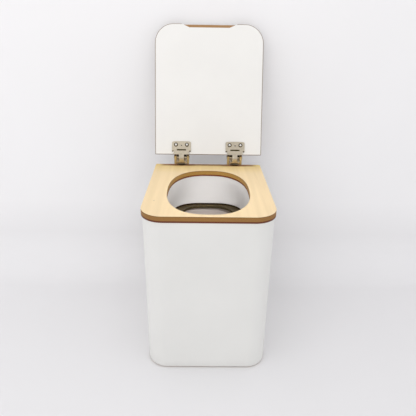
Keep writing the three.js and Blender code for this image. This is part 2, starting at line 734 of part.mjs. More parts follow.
// Past the lid edge the leaf narrows, curls round the pin and widens to a slotted bar.
// Two side walls and a web tie the bar to the barrel, and a fin closes the lid's side.
function leafCover(x) {
  const inner = COVER_RADIUS - LEAF_THICK;
  const neck = coverBand(x, COVER_NECK_WIDTH, inner, COVER_RADIUS, 0, COVER_TURN_DEG);
  const root = block(
    x - COVER_NECK_WIDTH / 2,
    x + COVER_NECK_WIDTH / 2,
    -GAP,
    PIN_TO_LID_EDGE + NECK_UP + LEAF_THICK,
    inner,
    COVER_RADIUS,
  );
  const bar = coverBand(x, COVER_WIDTH, inner, COVER_RADIUS, COVER_BAR_DEG, COVER_TURN_DEG);
  const lip = coverBand(
    x,
    COVER_WIDTH,
    inner,
    COVER_RADIUS + COVER_LIP,
    COVER_TURN_DEG - COVER_LIP_DEG,
    COVER_TURN_DEG,
  );
  const walls = [-1, 1].map((side) => coverBand(
    x + (side * (COVER_WIDTH - LEAF_THICK)) / 2,
    LEAF_THICK,
    BARREL_RADIUS - GAP,
    inner + GAP,
    COVER_BAR_DEG,
    COVER_TURN_DEG,
  ));
  const webTurn = THREE.MathUtils.radToDeg(COVER_WEB_THICK / inner);
  const web = coverBand(
    x,
    COVER_WIDTH,
    BARREL_RADIUS - GAP,
    inner + GAP,
    COVER_BAR_DEG,
    COVER_BAR_DEG + webTurn,
  );
  const fin = block(
    x - COVER_WIDTH / 2,
    x + COVER_WIDTH / 2,
    BARREL_RADIUS - COVER_WEB_THICK,
    PIN_TO_LID_EDGE - GAP,
    -COVER_WEB_THICK / 2,
    COVER_WEB_THICK / 2,
  );
  const barrel = crossRod(BARREL_RADIUS, COVER_WIDTH, x, 0, 0, CURVE_STEPS * 2);
  const boss = block(
    x - COVER_BOSS_WIDTH / 2,
    x + COVER_BOSS_WIDTH / 2,
    PIN_TO_LID_EDGE - COVER_BOSS_WIDTH / 2,
    PIN_TO_LID_EDGE + COVER_BOSS_WIDTH / 2,
    inner,
    COVER_RADIUS + COVER_BOSS_HEIGHT,
  );
  const bore = crossRod(PIN_RADIUS + GAP, COVER_WIDTH + CUT_OVERRUN, x, 0, 0, CURVE_STEPS);
  const whole = joined([neck, root, bar, lip, ...walls, web, fin, barrel, boss]);
  return whole.subtract(coverSlot(x)).subtract(bore);
}

// The leaf's flat part on the lid, with dished screw seats, an eye, a pressed groove
// and two small tabs at its lower corners.
function leafSolid(x, screws) {
  const under = PIN_TO_LID_FACE + GAP;
  const tabs = [-1, 1].map((side) => block(
    x + (side * (LEAF_WIDTH - LEAF_TAB_WIDTH)) / 2 - LEAF_TAB_WIDTH / 2,
    x + (side * (LEAF_WIDTH - LEAF_TAB_WIDTH)) / 2 + LEAF_TAB_WIDTH / 2,
    PIN_TO_LID_EDGE + LEAF_EDGE,
    PIN_TO_LID_EDGE + LEAF_EDGE + LEAF_TAB_LENGTH,
    under,
    COVER_RADIUS + LEAF_TAB_HEIGHT,
  ));
  const eye = post(
    LEAF_HOLE_RADIUS,
    LEAF_THICK + 2 * CUT_OVERRUN,
    x,
    PIN_TO_LID_EDGE + LEAF_HOLE_UP,
    under - CUT_OVERRUN,
    SCREW_SIDES,
  );
  const groove = block(
    x - LEAF_GROOVE_WIDTH / 2,
    x + LEAF_GROOVE_WIDTH / 2,
    PIN_TO_LID_EDGE + LEAF_GROOVE_UP,
    PIN_TO_LID_EDGE + LEAF_GROOVE_UP + LEAF_GROOVE_HEIGHT,
    COVER_RADIUS - LEAF_GROOVE_DEPTH,
    COVER_RADIUS + CUT_OVERRUN,
  );
  const dishes = [-1, 1].map((side) => post(
    LEAF_DISH_RADIUS,
    LEAF_DISH_DEPTH + CUT_OVERRUN,
    x + (side * LEAF_SCREW_APART) / 2,
    PIN_TO_LID_EDGE + LEAF_SCREW_UP,
    COVER_RADIUS - LEAF_DISH_DEPTH,
    CURVE_STEPS * 2,
  ));
  const flat = joined([leafFlange(x), ...tabs]);
  const cut = [eye, groove, ...dishes].reduce((left, tool) => left.subtract(tool), flat);
  return openPose(withHoles(cut.add(leafCover(x)), screws));
}

function bracketScrews(x) {
  const list = [];
  for (const side of [-1, 1]) {
    const start = new THREE.Vector3(
      x + (side * BRACKET_SCREW_APART) / 2,
      REAR + BRACKET_THICK + 2 * GAP,
      SEAT_HEIGHT - BRACKET_SCREW_DROP,
    );
    list.push([start, new THREE.Vector3(0, -1, 0)]);
  }
  return list;
}

// A cheek seen from the side: it stands on the plate's rear edge and holds the pin, and
// its ear stops the open lid.
function cheekProfile() {
  const up = [Math.sin(LID_LEAN), Math.cos(LID_LEAN)];
  const out = [-Math.cos(LID_LEAN), Math.sin(LID_LEAN)];
  const at = (s, n) => [PIN_Y + up[0] * s + out[0] * n, PIN_Z + up[1] * s + out[1] * n];
  const stop = PIN_TO_LID_FACE - LID_THICK - GAP;
  const front = REAR + GAP;
  return [
    [front, SEAT_HEIGHT - WEB_LOW_DROP],
    [front + BRACKET_THICK, SEAT_HEIGHT - WEB_LOW_DROP],
    [PIN_Y + CHEEK_RADIUS, PIN_Z - CHEEK_RADIUS],
    at(CHEEK_STOP_LENGTH, stop - CHEEK_STOP_THICK),
    at(CHEEK_STOP_LENGTH, stop),
    at(CHEEK_RADIUS, stop),
    [PIN_Y - CHEEK_RADIUS, PIN_Z + CHEEK_RISE],
    [PIN_Y - CHEEK_RADIUS, SEAT_HEIGHT + GAP],
    [front, SEAT_HEIGHT + GAP],
  ];
}

function bracketSolid(x, screws) {
  const half = BRACKET_WIDTH / 2;
  const web = block(
    x - half,
    x + half,
    REAR + GAP,
    REAR + GAP + BRACKET_THICK,
    SEAT_HEIGHT - WEB_LOW_DROP,
    SEAT_HEIGHT - WEB_TOP_DROP,
  );
  const left = sideCut(cheekProfile(), x - half, x - half + CHEEK_THICK);
  const right = sideCut(cheekProfile(), x + half - CHEEK_THICK, x + half);
  const bore = crossRod(PIN_RADIUS + GAP, BRACKET_WIDTH + CUT_OVERRUN, x, PIN_Y, PIN_Z, CURVE_STEPS);
  return withHoles(joined([web, left, right]).subtract(bore), screws);
}

function pinSolid(x) {
  const half = BRACKET_WIDTH / 2 + GAP + PIN_HEAD;
  const rod = crossRod(PIN_RADIUS, 2 * half, x, PIN_Y, PIN_Z, CURVE_STEPS);
  const heads = [-1, 1].map((side) => crossRod(
    PIN_HEAD_RADIUS,
    PIN_HEAD,
    x + side * (half - PIN_HEAD / 2),
    PIN_Y,
    PIN_Z,
    CURVE_STEPS * 2,
  ));
  return joined([rod, ...heads]);
}

// The finger pull is a long chamfer cut into the underside of the front edge.
function fingerPull() {
  const edge = PIN_TO_LID_EDGE + LID_LENGTH;
  const face = PIN_TO_LID_FACE;
  const shape = new THREE.Shape();
  shape.moveTo(-NOTCH_WIDTH / 2, edge + CUT_OVERRUN);
  shape.lineTo(-NOTCH_WIDTH / 2, edge);
  shape.lineTo(-NOTCH_FLAT / 2, edge - NOTCH_DEPTH);
  shape.lineTo(NOTCH_FLAT / 2, edge - NOTCH_DEPTH);
  shape.lineTo(NOTCH_WIDTH / 2, edge);
  shape.lineTo(NOTCH_WIDTH / 2, edge + CUT_OVERRUN);
  const footprint = raised(shape, face - LID_THICK, face + CUT_OVERRUN);
  const wedge = sideCut(
    [
      [edge - NOTCH_DEPTH, face + CUT_OVERRUN],
      [edge - NOTCH_DEPTH, face],
      [edge + CUT_OVERRUN, face - NOTCH_DEPTH],
      [edge + CUT_OVERRUN, face + CUT_OVERRUN],
    ],
    -NOTCH_WIDTH / 2,
    NOTCH_WIDTH / 2,
  );
  return footprint.intersect(wedge);
}

function lidSolid(screws) {
  const near = PIN_TO_LID_EDGE;
  const far = near + LID_LENGTH;
  const face = PIN_TO_LID_FACE;
  const levels = [
    [face - LID_THICK, EDGE_BREAK],
    [face - LID_THICK + EDGE_BREAK, 0],
    [face - EDGE_BREAK, 0],
    [face, EDGE_BREAK],
  ];
  const blank = edgedPlate(LID_WIDTH / 2, -far, -near, LID_FRONT_RADIUS, LID_REAR_RADIUS, levels);
  const turned = geometryOf(blank);
  turned.rotateZ(Math.PI);
  return openPose(withHoles(solidOf(turned).subtract(fingerPull()), screws));
}

// Moves every piece so that the middle of the whole outline stands over the origin.
function centred(group) {
  const bounds = new THREE.Box3().setFromObject(group);
  const middle = bounds.getCenter(new THREE.Vector3());
  for (const mesh of group.children) {
    mesh.geometry.translate(-middle.x, -middle.y, -bounds.min.z);
  }
  return group;
}

function assembled() {
  const toilet = new THREE.Group();
  toilet.name = 'dry_toilet';
  const sides = [['left', -1], ['right', 1]];
  const fasten = (name, list, pose = (solid) => solid) => list.forEach(([start, direction], i) => {
    toilet.add(named(`${name}_${i + 1}`, pose(screw(start, direction)), ZINC));
  });

  const back = backScrews();
  toilet.add(named('shell', shellSolid(), WHITE_SHEET));
  toilet.add(named('base_plate', baseSolid(), PLAIN_PLY));
  toilet.add(named('back_panel', withHoles(backSolid(), back), WHITE_SHEET));
  for (const [label, side] of sides) {
    toilet.add(named(`corner_batten_${label}`, withHoles(cornerBatten(side), back), PLAIN_PLY));
    toilet.add(named(`pad_front_${label}`, padSolid(side, -1), BLACK_RUBBER));
    toilet.add(named(`pad_rear_${label}`, padSolid(side, 1), BLACK_RUBBER));
  }
  fasten('back_screw', back);

  const bracketFixings = sides.flatMap(([, side]) => bracketScrews((side * HINGE_SPACING) / 2));
  toilet.add(named('seat_plate', seatSolid(bracketFixings), BIRCH));
  toilet.add(named('splash_skirt', skirtSolid(), SKIRT_WHITE));
  toilet.add(named('skirt_ring', ringSolid(), PLAIN_PLY));
  clipSpots().forEach(([side, y], i) => {
    toilet.add(named(`skirt_clip_${i + 1}`, clipSolid(side, y), PLAIN_PLY));
  });

  const leafFixings = sides.flatMap(([, side]) => leafScrews((side * HINGE_SPACING) / 2));
  for (const [label, side] of sides) {
    const x = (side * HINGE_SPACING) / 2;
    toilet.add(named(`seat_batten_${label}`, seatBatten(side), PLAIN_PLY));
    toilet.add(named(`hinge_bracket_${label}`, bracketSolid(x, bracketScrews(x)), NICKEL));
    toilet.add(named(`hinge_pin_${label}`, pinSolid(x), ZINC));
    fasten(`bracket_screw_${label}`, bracketScrews(x));
    toilet.add(named(`hinge_leaf_${label}`, leafSolid(x, leafScrews(x)), NICKEL));
    fasten(`leaf_screw_${label}`, leafScrews(x), openPose);
  }
  toilet.add(named('lid_panel', lidSolid(leafFixings), WHITE_LID));
  toilet.add(named('tub', tubSolid(), WHITE_PLASTIC));
  return centred(toilet);
}

export default assembled();
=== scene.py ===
import json
import math

import bmesh
import bpy
from mathutils import Matrix, Vector


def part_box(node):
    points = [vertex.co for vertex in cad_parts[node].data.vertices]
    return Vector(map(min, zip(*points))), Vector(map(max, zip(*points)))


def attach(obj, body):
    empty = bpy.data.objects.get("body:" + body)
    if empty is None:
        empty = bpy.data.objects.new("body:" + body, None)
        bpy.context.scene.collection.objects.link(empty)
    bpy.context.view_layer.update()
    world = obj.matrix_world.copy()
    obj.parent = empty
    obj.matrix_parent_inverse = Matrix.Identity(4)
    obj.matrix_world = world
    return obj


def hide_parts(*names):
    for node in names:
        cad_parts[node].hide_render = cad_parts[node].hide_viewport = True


bl_info = {
    "name": "Dry toilet",
    "version": (1, 0, 0),
    "blender": (4, 5, 0),
    "location": "View3D > Sidebar > Dry toilet",
    "description": "Dresses the dry toilet's frame: board, veneer, skirt, tub, hinges and stage",
    "category": "Add Mesh",
}

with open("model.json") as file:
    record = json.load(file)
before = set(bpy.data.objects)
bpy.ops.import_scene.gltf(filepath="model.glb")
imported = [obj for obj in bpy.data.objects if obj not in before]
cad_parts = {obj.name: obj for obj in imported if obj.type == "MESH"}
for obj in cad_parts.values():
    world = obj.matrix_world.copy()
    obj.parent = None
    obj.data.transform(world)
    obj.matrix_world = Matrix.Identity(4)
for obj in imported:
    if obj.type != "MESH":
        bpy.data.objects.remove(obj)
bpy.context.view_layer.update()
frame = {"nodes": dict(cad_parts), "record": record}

MM = 0.001
TURN = 2 * math.pi
QUARTER = math.pi / 2

SEAT_LOW, SEAT_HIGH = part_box("seat_plate")
SHELL_LOW, SHELL_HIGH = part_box("shell")
SKIRT_LOW, SKIRT_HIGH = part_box("splash_skirt")
RING_LOW, RING_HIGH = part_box("skirt_ring")
TUB_LOW, TUB_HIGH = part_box("tub")
HINGE_JOINT = next(j for j in frame["record"]["behaviour"]["joints"] if j["name"] == "lid_hinge")
PIN = Vector(HINGE_JOINT["pos_m"])

# Meshes in general
SAME_POINT = 0.001 * MM
CLOSE = 0.1 * MM
CORNER_STEPS = 24
BEND_STEPS = 32
OVAL_POINTS = 144
CUT_OVER = 2 * MM
EASE_STEPS = 2
SOFT_ANGLE = 35.0
ROUND_ANGLE = 50.0
SIDEWAYS = 0.5

# Seat plate, with the shallow rebates that clear its hinges
HINGE_OFFSET = 91 * MM
REBATE_HALF = 16 * MM
REBATE_LENGTH = 14 * MM
REBATE_DEPTH = 7 * MM
REBATE_STEPS = 24
FACE_ROOM = 0.5 * MM
HOLE_ROOM = 1 * MM

# Rounding of each piece's edges, as a share of the boards' sanding or of the sheet
PLATE_EASE_SHARE = 0.7
SHELL_EASE_SHARE = 0.6
RING_EASE_SHARE = 0.4
LID_EASE_SHARE = 2.4
SKIRT_EASE_SHARE = 0.4

# Marks on the seat plate's veneer, with painted shade along its rear and beside the hinges
KNOT = (-150 * MM, SEAT_LOW.y + 105 * MM, SEAT_HIGH.z)
KNOT_FADE = (3.4 * MM, 1.2 * MM)
# Laser browning round the hole, and along the rear edge laser browning mixed with painted shade from the
# gap under the lid, deepest beside the hinges
SCORCH_AND_SHADE_REAR = 24 * MM
SCORCH_RIM = 0.03
SCORCH_RIM_SHARE = 0.3
SCORCH_AND_SHADE_ENDS = (168 * MM, 150 * MM)
HINGE_SHADE_AND_SCORCH = (48 * MM, 22 * MM)
SCORCH_AND_SHADE_DEPTHS = {"rear": 0.95, "hinge": 0.75, "rim": 0.6}
# Painted shade: the plate's face darkens and warms over its last stretch toward the rear edge, for the
# lid's shadow and its warm reflected light
REAR_SHADE_TINT = (0.97, 0.925, 0.60)
REAR_SHADE_LENGTH = 95 * MM

# Boards, wood and edges
DUST_HEIGHTS = (30 * MM, 4 * MM)
TEXTURE_HEIGHT = 0.4 * MM
GRAIN_STRETCH = 0.055
GRAIN_WARMTH = (1.0, 0.96, 0.88)
EDGE_STRETCH = (1.0, 1.0, 6.0)
PLIES = 13
PLY_WOBBLE = 0.7 * MM
RIM_SHARES = (0.2, 0.08)
CHAR_SHARES = (0.68, 0.76)
CHAR_TINT = (0.5, 0.18, 0.06)
CHAR_SHEEN = 0.08

# Splash skirt and the ring under it
ROOM_IN_SHELL = 1.2 * MM
SKIRT_NECK_SHARE = 1.3
SKIRT_STEPS = 14
SKIRT_FLARE_SIDE = 4.5 * MM
SKIRT_FLARE_REAR = 5 * MM
SKIRT_DRAW_FRONT = 33 * MM
SKIRT_LOW_POWER = 3.2
SKIRT_OFFSET = 2.2 * MM
SKIRT_FLANGE = 11 * MM
SKIRT_FLANGE_EASE = 0.3 * MM
RING_STEP = 4.5 * MM
RING_SIDE_LEDGE = 30 * MM
RING_REAR_LEDGE = 15 * MM
RING_FRONT_LEDGE = 2 * MM

# Tub
TUB_RIM = 9 * MM
TUB_RIM_END = TUB_RIM / 3
TUB_RIM_HEIGHT = 12 * MM
TUB_LOW_HALF = (131 * MM, 172 * MM)
TUB_RADIUS = 72 * MM
TUB_LOW_RADIUS = 58 * MM
TUB_LEAST_RADIUS = 4 * MM
TUB_FOOT = 8 * MM
TUB_FOOT_SHARE = 0.6
TUB_FOOT_STEPS = 6
TUB_CORNER_STEPS = 14
TUB_STEPS = 10
TUB_ROUND = 2 * MM
TUB_NECK = 1 * MM
TUB_LIP_ROUND = 1 * MM
TUB_EASE = 0.6 * MM

# Lid, drawn about the hinge pin
LID_EDGE = 8.5 * MM
LID_FACE = 20.5 * MM
LID_REAR_RADIUS = 1.5 * MM
LID_FLAT = 0.97
LID_ANGLE = 30.0
PULL_STEEP = 0.2
PULL_BACK_SHARE = 1.02
PULL_DOWN_SHARE = 1.1
PULL_UNDER = 0.02 * MM
PULL_INSIDE = 0.4 * MM
EYE_UP = 39.5 * MM
EYE_RADIUS = 2.4 * MM
EYE_ROOM = 0.5 * MM
EYE_DEPTH = 6 * MM
EYE_STEPS = 24

# Hinge leaves, measured about the pin too, and the brackets' feet
LEAF_TOP = 23 * MM
LEAF_CLOSE = 0.05 * MM
DISH_PLACE = (18.5 * MM, 41.5 * MM)
DISH_RADIUS = 6.9 * MM
GROOVE_HALF = (15.6 * MM, 2.4 * MM)
GROOVE_UP = 24.3 * MM
TAB_FROM = 26 * MM
BAR_TURN = 44.5
FOOT_CLOSE = 1.2 * MM
RECESS_UP = 1.0 * MM

# Plating, with painted shade in its crevices
CREVICE_SHADE_REACH = 4 * MM
CREVICE_SHADE_SAMPLES = 8
ROLLING_STRETCH = (0.08, 1.0, 1.0)

# Eased edges of the pieces that keep their solids
LEAF_EASE = 0.35 * MM
BRACKET_EASE = 0.3 * MM
PIN_EASE = 0.25 * MM
SCREW_EASE = 0.12 * MM
BOARD_EASE = 0.5 * MM
BATTEN_EASE = 0.6 * MM
PAD_EASE = 0.3 * MM

# Stage
WALL_BEHIND = 0.14
SWEEP_RADIUS = 0.16
SWEEP_STEPS = 24
FLOOR_PLACES = (-4.0, -1.0)
WALL_HEIGHTS = (1.2, 3.2)
STAGE_HALF = 3.5
# The floor is painted darker than the wall: painted shade that evens out the stronger lamp light on the
# floor
FLOOR_SHADE_TINT = (0.865, 0.865, 0.87)
TINT_HEIGHT = 0.3
SKY = (0.98, 0.985, 1.0)
WORLD_LIGHT = 1.0
BACKGROUND = (0.87, 0.86, 0.865)

# Camera, placed across, forward of the seat plate's front edge and up from the floor
CAMERA_SENSOR = 36.0
CAMERA_LENS = 35.69
CAMERA_ANGLES = (0.62, 23.72, -0.833)
CAMERA_PLACE = (-0.0126, 0.9407, 0.9382)

# Lamps, with a spread in degrees and a power in watts
LAMPS = {
    "key": {
        "place": (-1.3, -1.7, 2.0),
        "aim": (0.0, 0.0, 0.45),
        "size": (2.6, 2.6),
        "spread": 180.0,
        "power": 10.0,
        "tint": (1.0, 0.985, 0.96),
    },
    "top": {
        "place": (0.0, -0.25, 2.3),
        "aim": (0.0, 0.0, 0.45),
        "size": (1.2, 1.0),
        "spread": 180.0,
        "power": 3.0,
        "tint": (1.0, 1.0, 1.0),
    },
    "hole": {
        "place": (0.12, -1.14, 1.02),
        "aim": (-0.012, 0.015, 0.428),
        "size": (0.24, 0.05),
        "spread": 11.0,
        "power": 0.044,
        "tint": (1.0, 0.99, 0.985),
    },
}


def length_property(name, description, default):
    return bpy.props.FloatProperty(
        name=name,
        description=description,
        default=default,
        subtype="DISTANCE",
        unit="LENGTH",
    )


def colour_property(name, description, default):
    return bpy.props.FloatVectorProperty(
        name=name,
        description=description,
        subtype="COLOR",
        size=3,
        min=0.0,
        max=1.0,
        default=default,
    )


class DryToiletSizes(bpy.types.PropertyGroup):
    """Sizes a user may change; the frame's own boxes give the rest."""

    front_radius: length_property(
        "Front corner radius", "Radius of the seat plate's and the lid's front corners", 62 * MM
    )
    rear_radius: length_property("Rear corner radius", "Radius of the seat plate's rear corners", 7 * MM)
    hole_width: length_property("Hole width", "Width of the opening in the seat plate", 239 * MM)
    hole_length: length_property("Hole length", "Length of the opening in the seat plate", 348 * MM)
    hole_margin: length_property("Hole front margin", "Width of the plate in front of the opening", 15 * MM)
    hole_power: bpy.props.FloatProperty(
        name="Hole squareness",
        description="2 is an ellipse and higher values square the shoulders",
        default=2.45,
    )
    overhang: length_property("Plate overhang", "How far the seat plate stands past the box", 3.5 * MM)
    shell_thick: length_property("Box board", "Thickness of the bent board of the box", 6 * MM)
    edge_round: length_property("Edge rounding", "Sanding on the edges of the boards", 0.8 * MM)
    skirt_thick: length_property("Skirt sheet", "Thickness of the splash skirt", 2 * MM)
    tub_wall: length_property("Tub wall", "Wall thickness of the tub", 3 * MM)
    lid_width: length_property("Lid width", "Width of the lid across the hinges", 360 * MM)
    lid_length: length_property("Lid length", "Length of the lid from its hinge edge", 428 * MM)
    lid_thick: length_property("Lid board", "Thickness of the lid", 15 * MM)
    lid_lean: bpy.props.FloatProperty(
        name="Lid lean",
        description="How far the open lid leans past upright",
        default=math.radians(17.3),
        subtype="ANGLE",
        unit="ROTATION",
    )
    pull_width: length_property(
        "Finger pull width", "Width of the finger pull at the lid's edge", 188 * MM
    )
    pull_flat: length_property(
        "Finger pull flat", "Width of the finger pull at its inner end", 132 * MM
    )
    pull_depth: length_property(
        "Finger pull depth", "How far the finger pull reaches in from the edge", 12 * MM
    )


class DryToiletColours(bpy.types.PropertyGroup):
    """Colours of the finishes, as linear values."""

    board: colour_property("Box white", "Satin white of the box", (0.77, 0.765, 0.74))
    lid: colour_property("Lid white", "Satin white film on the lid", (0.83, 0.815, 0.785))
    birch: colour_property("Birch", "Face veneer of the seat plate", (0.83, 0.645, 0.385))
    # Brown of the laser's browning on the plate's face, also used for painted shade along its rear edge and
    # beside the hinges
    scorch_and_shade: colour_property("Scorch", "Browned traces on the plate's face", (0.25, 0.09, 0.018))
    browned: colour_property("Browned edge", "Laser-cut edge of the plywood", (0.235, 0.112, 0.022))
    # The lid's browned plywood edge, darkened further as a painted shade line round the lid
    lid_edge_and_shade: colour_property("Lid edge", "Browned edge of the lid", (0.21, 0.12, 0.055))
    # The same laser-cut edge as the outer one, painted lighter round the hole: painted light
    hole_edge_lit: colour_property("Hole edge", "Laser-cut edge round the hole", (0.38, 0.205, 0.042))
    raw: colour_property("Raw wood", "Unfinished plywood and battens", (0.66, 0.48, 0.27))
    pull: colour_property("Pull wood", "Bare plywood in the finger pull", (0.34, 0.17, 0.045))
    nickel: colour_property("Nickel", "Plating of the hinges", (0.60, 0.535, 0.42))
    # Yellowed plating: a painted reflection of the golden seat plate in the brackets' nickel
    gilt: colour_property("Gilt", "Yellowed plating of the brackets", (0.62, 0.50, 0.27))
    # A near-black film: painted shade in the hinges' recesses, tabs and bracket feet, and in the plating's
    # crevices
    tarnish: colour_property("Tarnish", "Dull film in the hinges' recesses", (0.075, 0.058, 0.025))
    zinc: colour_property("Zinc", "Plating of the screws and pins", (0.66, 0.66, 0.65))
    skirt: colour_property("Skirt white", "Sheet of the splash skirt", (0.90, 0.885, 0.87))
    # Near-black olive, far darker than the raw plywood: painted shade for the dark band under the skirt's
    # lip
    ring: colour_property("Ring wood", "Plywood of the ring under the skirt", (0.062, 0.041, 0.008))
    # Near black: laser char with painted shade in the hinge rebates, and painted shade alone in the ring's
    # rebate wall and the lid's eye holes
    burnt: colour_property("Burnt wood", "Charred faces left by the laser", (0.020, 0.010, 0.006))
    tub: colour_property("Tub white", "Moulded plastic of the tub", (0.90, 0.82, 0.77))
    rubber: colour_property("Rubber", "Foot pads", (0.022, 0.022, 0.024))
    floor: colour_property("Floor", "Floor and wall of the stage", (0.895, 0.885, 0.89))


def sizes():
    return bpy.context.scene.dry_toilet_sizes


def colours():
    return bpy.context.scene.dry_toilet_colours


def shaded(colour, share):
    """The colour brightened or darkened by a share."""
    return tuple(min(1.0, part * share) for part in colour)


def tinted(colour, tint):
    """The colour with its own share of red, green and blue."""
    return tuple(part * share for part, share in zip(colour, tint))


def opaque(colour):
    """A colour for a node's socket, or the socket that it comes from."""
    return colour if isinstance(colour, bpy.types.NodeSocket) else (*colour, 1.0)


class NodeTree:
    """Adds nodes to the tree of a material or of the world."""

    def __init__(self, tree):
        self.nodes = tree.nodes
        self.links = tree.links

    def fill(self, node, sockets):
        """Gives a node's input sockets their values or links."""
        for socket, value in sockets.items():
            if isinstance(value, bpy.types.NodeSocket):
                self.links.new(value, node.inputs[socket])
            else:
                node.inputs[socket].default_value = value

    def add(self, kind, sockets, **options):
        """A new node with its options set and its input sockets filled."""
        node = self.nodes.new(kind)
        for option, value in options.items():
            setattr(node, option, value)
        self.fill(node, sockets)
        return node

    def worked(self, operation, first, second=0.0):
        """The result of arithmetic on one or two values."""
        return self.add("ShaderNodeMath", {0: first, 1: second}, operation=operation).outputs["Value"]

    def shaders(self, share, first, second):
        """One shader with a share of a second over it."""
        return self.add("ShaderNodeMixShader", {0: share, 1: first, 2: second}).outputs["Shader"]


class Finish(NodeTree):
    """Builds one procedural material around a Principled shader."""

    MIX_SHARE, MIX_FIRST, MIX_SECOND, MIX_RESULT = 0, 6, 7, 2
    NOISE_RANGE = (0.25, 0.75)

    def __init__(self, name, colour, roughness, metallic=0.0):
        self.material = bpy.data.materials.new(name)
        self.material.use_nodes = True
        super().__init__(self.material.node_tree)
        self.shader = self.nodes["Principled BSDF"]
        values = {"Base Color": opaque(colour), "Roughness": roughness, "Metallic": metallic}
        self.fill(self.shader, values)
        self.place = self.add("ShaderNodeTexCoord", {}).outputs["Object"]

    def stretched(self, scale):
        """The piece's coordinates, stretched along its axes."""
        return self.add("ShaderNodeMapping", {"Vector": self.place, "Scale": scale}).outputs["Vector"]

    def noise(self, scale, detail=3.0, roughness=0.5, distortion=0.0, place=None):
        sockets = {
            "Vector": self.place if place is None else place,
            "Scale": scale,
            "Detail": detail,
            "Roughness": roughness,
            "Distortion": distortion,
        }
        return self.add("ShaderNodeTexNoise", sockets).outputs["Fac"]

    def bands(self, scale, direction, place):
        """Wavy growth bands that follow one another in a direction."""
        sockets = {
            "Vector": place,
            "Scale": scale,
            "Distortion": 5.5,
            "Detail": 3.0,
            "Detail Scale": 1.5,
        }
        options = {"wave_type": "BANDS", "bands_direction": direction}
        return self.add("ShaderNodeTexWave", sockets, **options).outputs["Fac"]

    def spread(self, value, low, high, to_low=0.0, to_high=1.0):
        """Stretches low and high to 0 and 1, or to two other ends."""
        sockets = {
            "Value": value,
            "From Min": low,
            "From Max": high,
            "To Min": to_low,
            "To Max": to_high,
        }
        return self.add("ShaderNodeMapRange", sockets).outputs["Result"]

    def mixed(self, share, first, second, blend="MIX"):
        """One colour with a share of a second over it."""
        sockets = {
            self.MIX_SHARE: share,
            self.MIX_FIRST: opaque(first),
            self.MIX_SECOND: opaque(second),
        }
        node = self.add("ShaderNodeMix", sockets, data_type="RGBA", blend_type=blend)
        return node.outputs[self.MIX_RESULT]

    def times(self, first, second):
        return self.worked("MULTIPLY", first, second)

    def over(self, base, mask, share, colour):
        """The base with a share of a colour over it where the mask is on."""
        return self.mixed(self.times(mask, share), base, colour)

    def apart(self, value, place):
        """How far a coordinate is from a place, on either side."""
        return self.worked("ABSOLUTE", self.worked("SUBTRACT", value, place))

    def axis(self, letter):
        return self.add("ShaderNodeSeparateXYZ", {"Vector": self.place}).outputs[letter]

    def dress(self, colour, texture, low, high):
        """Sets the colour, and a roughness from low to high that follows a texture."""
        roughness = self.spread(texture, *self.NOISE_RANGE, low, high)
        self.fill(self.shader, {"Base Color": colour, "Roughness": roughness})

    def bump(self, height, strength, distance=TEXTURE_HEIGHT):
        sockets = {"Height": height, "Strength": strength, "Distance": distance}
        self.fill(self.shader, {"Normal": self.add("ShaderNodeBump", sockets).outputs["Normal"]})


def satin_board(name, colour, roughness):
    """White film or lacquer on board: faint orange peel, faint clouding, dust low down."""
    finish = Finish(name, colour, roughness)
    cloud = finish.spread(finish.noise(scale=7.0, detail=4.0, roughness=0.55), 0.35, 0.7)
    base = finish.mixed(cloud, shaded(colour, 0.985), shaded(colour, 1.012))
    speck = finish.spread(finish.noise(scale=900.0, detail=1.0), 0.72, 0.78)
    base = finish.over(base, speck, 0.06, shaded(colour, 0.8))
    near_floor = finish.spread(finish.axis("Z"), *DUST_HEIGHTS)
    dust = finish.times(near_floor, finish.noise(scale=60.0, detail=4.0))
    base = finish.over(base, dust, 0.35, shaded(colour, 0.72))
    finish.dress(base, finish.noise(scale=45.0), roughness - 0.05, roughness + 0.06)
    finish.bump(finish.noise(scale=420.0, detail=2.0), strength=0.05)
    return finish.material


def grain_maps(finish, along):
    """Fine fibre, broad figure and growth bands that run along one axis."""
    scale = [1.0, 1.0, 1.0]
    scale["XYZ".index(along)] = GRAIN_STRETCH
    place = finish.stretched(tuple(scale))
    fibre = finish.noise(scale=620.0, detail=4.0, roughness=0.6, place=place)
    broad = finish.noise(scale=46.0, roughness=0.55, distortion=0.6, place=place)
    growth = finish.bands(scale=11.0, direction="Y" if along == "X" else "X", place=place)
    return fibre, broad, growth


def veneer(name, colour, along, contrast=1.0, marks=None):
    """Birch veneer: pale, silky, with fine fibres and soft growth figure."""
    finish = Finish(name, colour, roughness=0.5)
    fibre, broad, growth = grain_maps(finish, along)
    deep = shaded(colour, 1 - 0.13 * contrast)
    middle = shaded(colour, 1 - 0.045 * contrast)
    base = finish.mixed(finish.spread(broad, 0.3, 0.72), shaded(colour, 1.05), middle)
    warm = tinted(deep, GRAIN_WARMTH)
    base = finish.over(base, finish.spread(growth, 0.55, 0.98), 0.2 * contrast, warm)
    base = finish.over(base, finish.spread(fibre, 0.52, 0.74), 0.24 * contrast, deep)
    if marks is not None:
        base = marks(finish, base)
    finish.dress(base, broad, low=0.44, high=0.56)
    finish.bump(fibre, strength=0.14)
    return finish.material


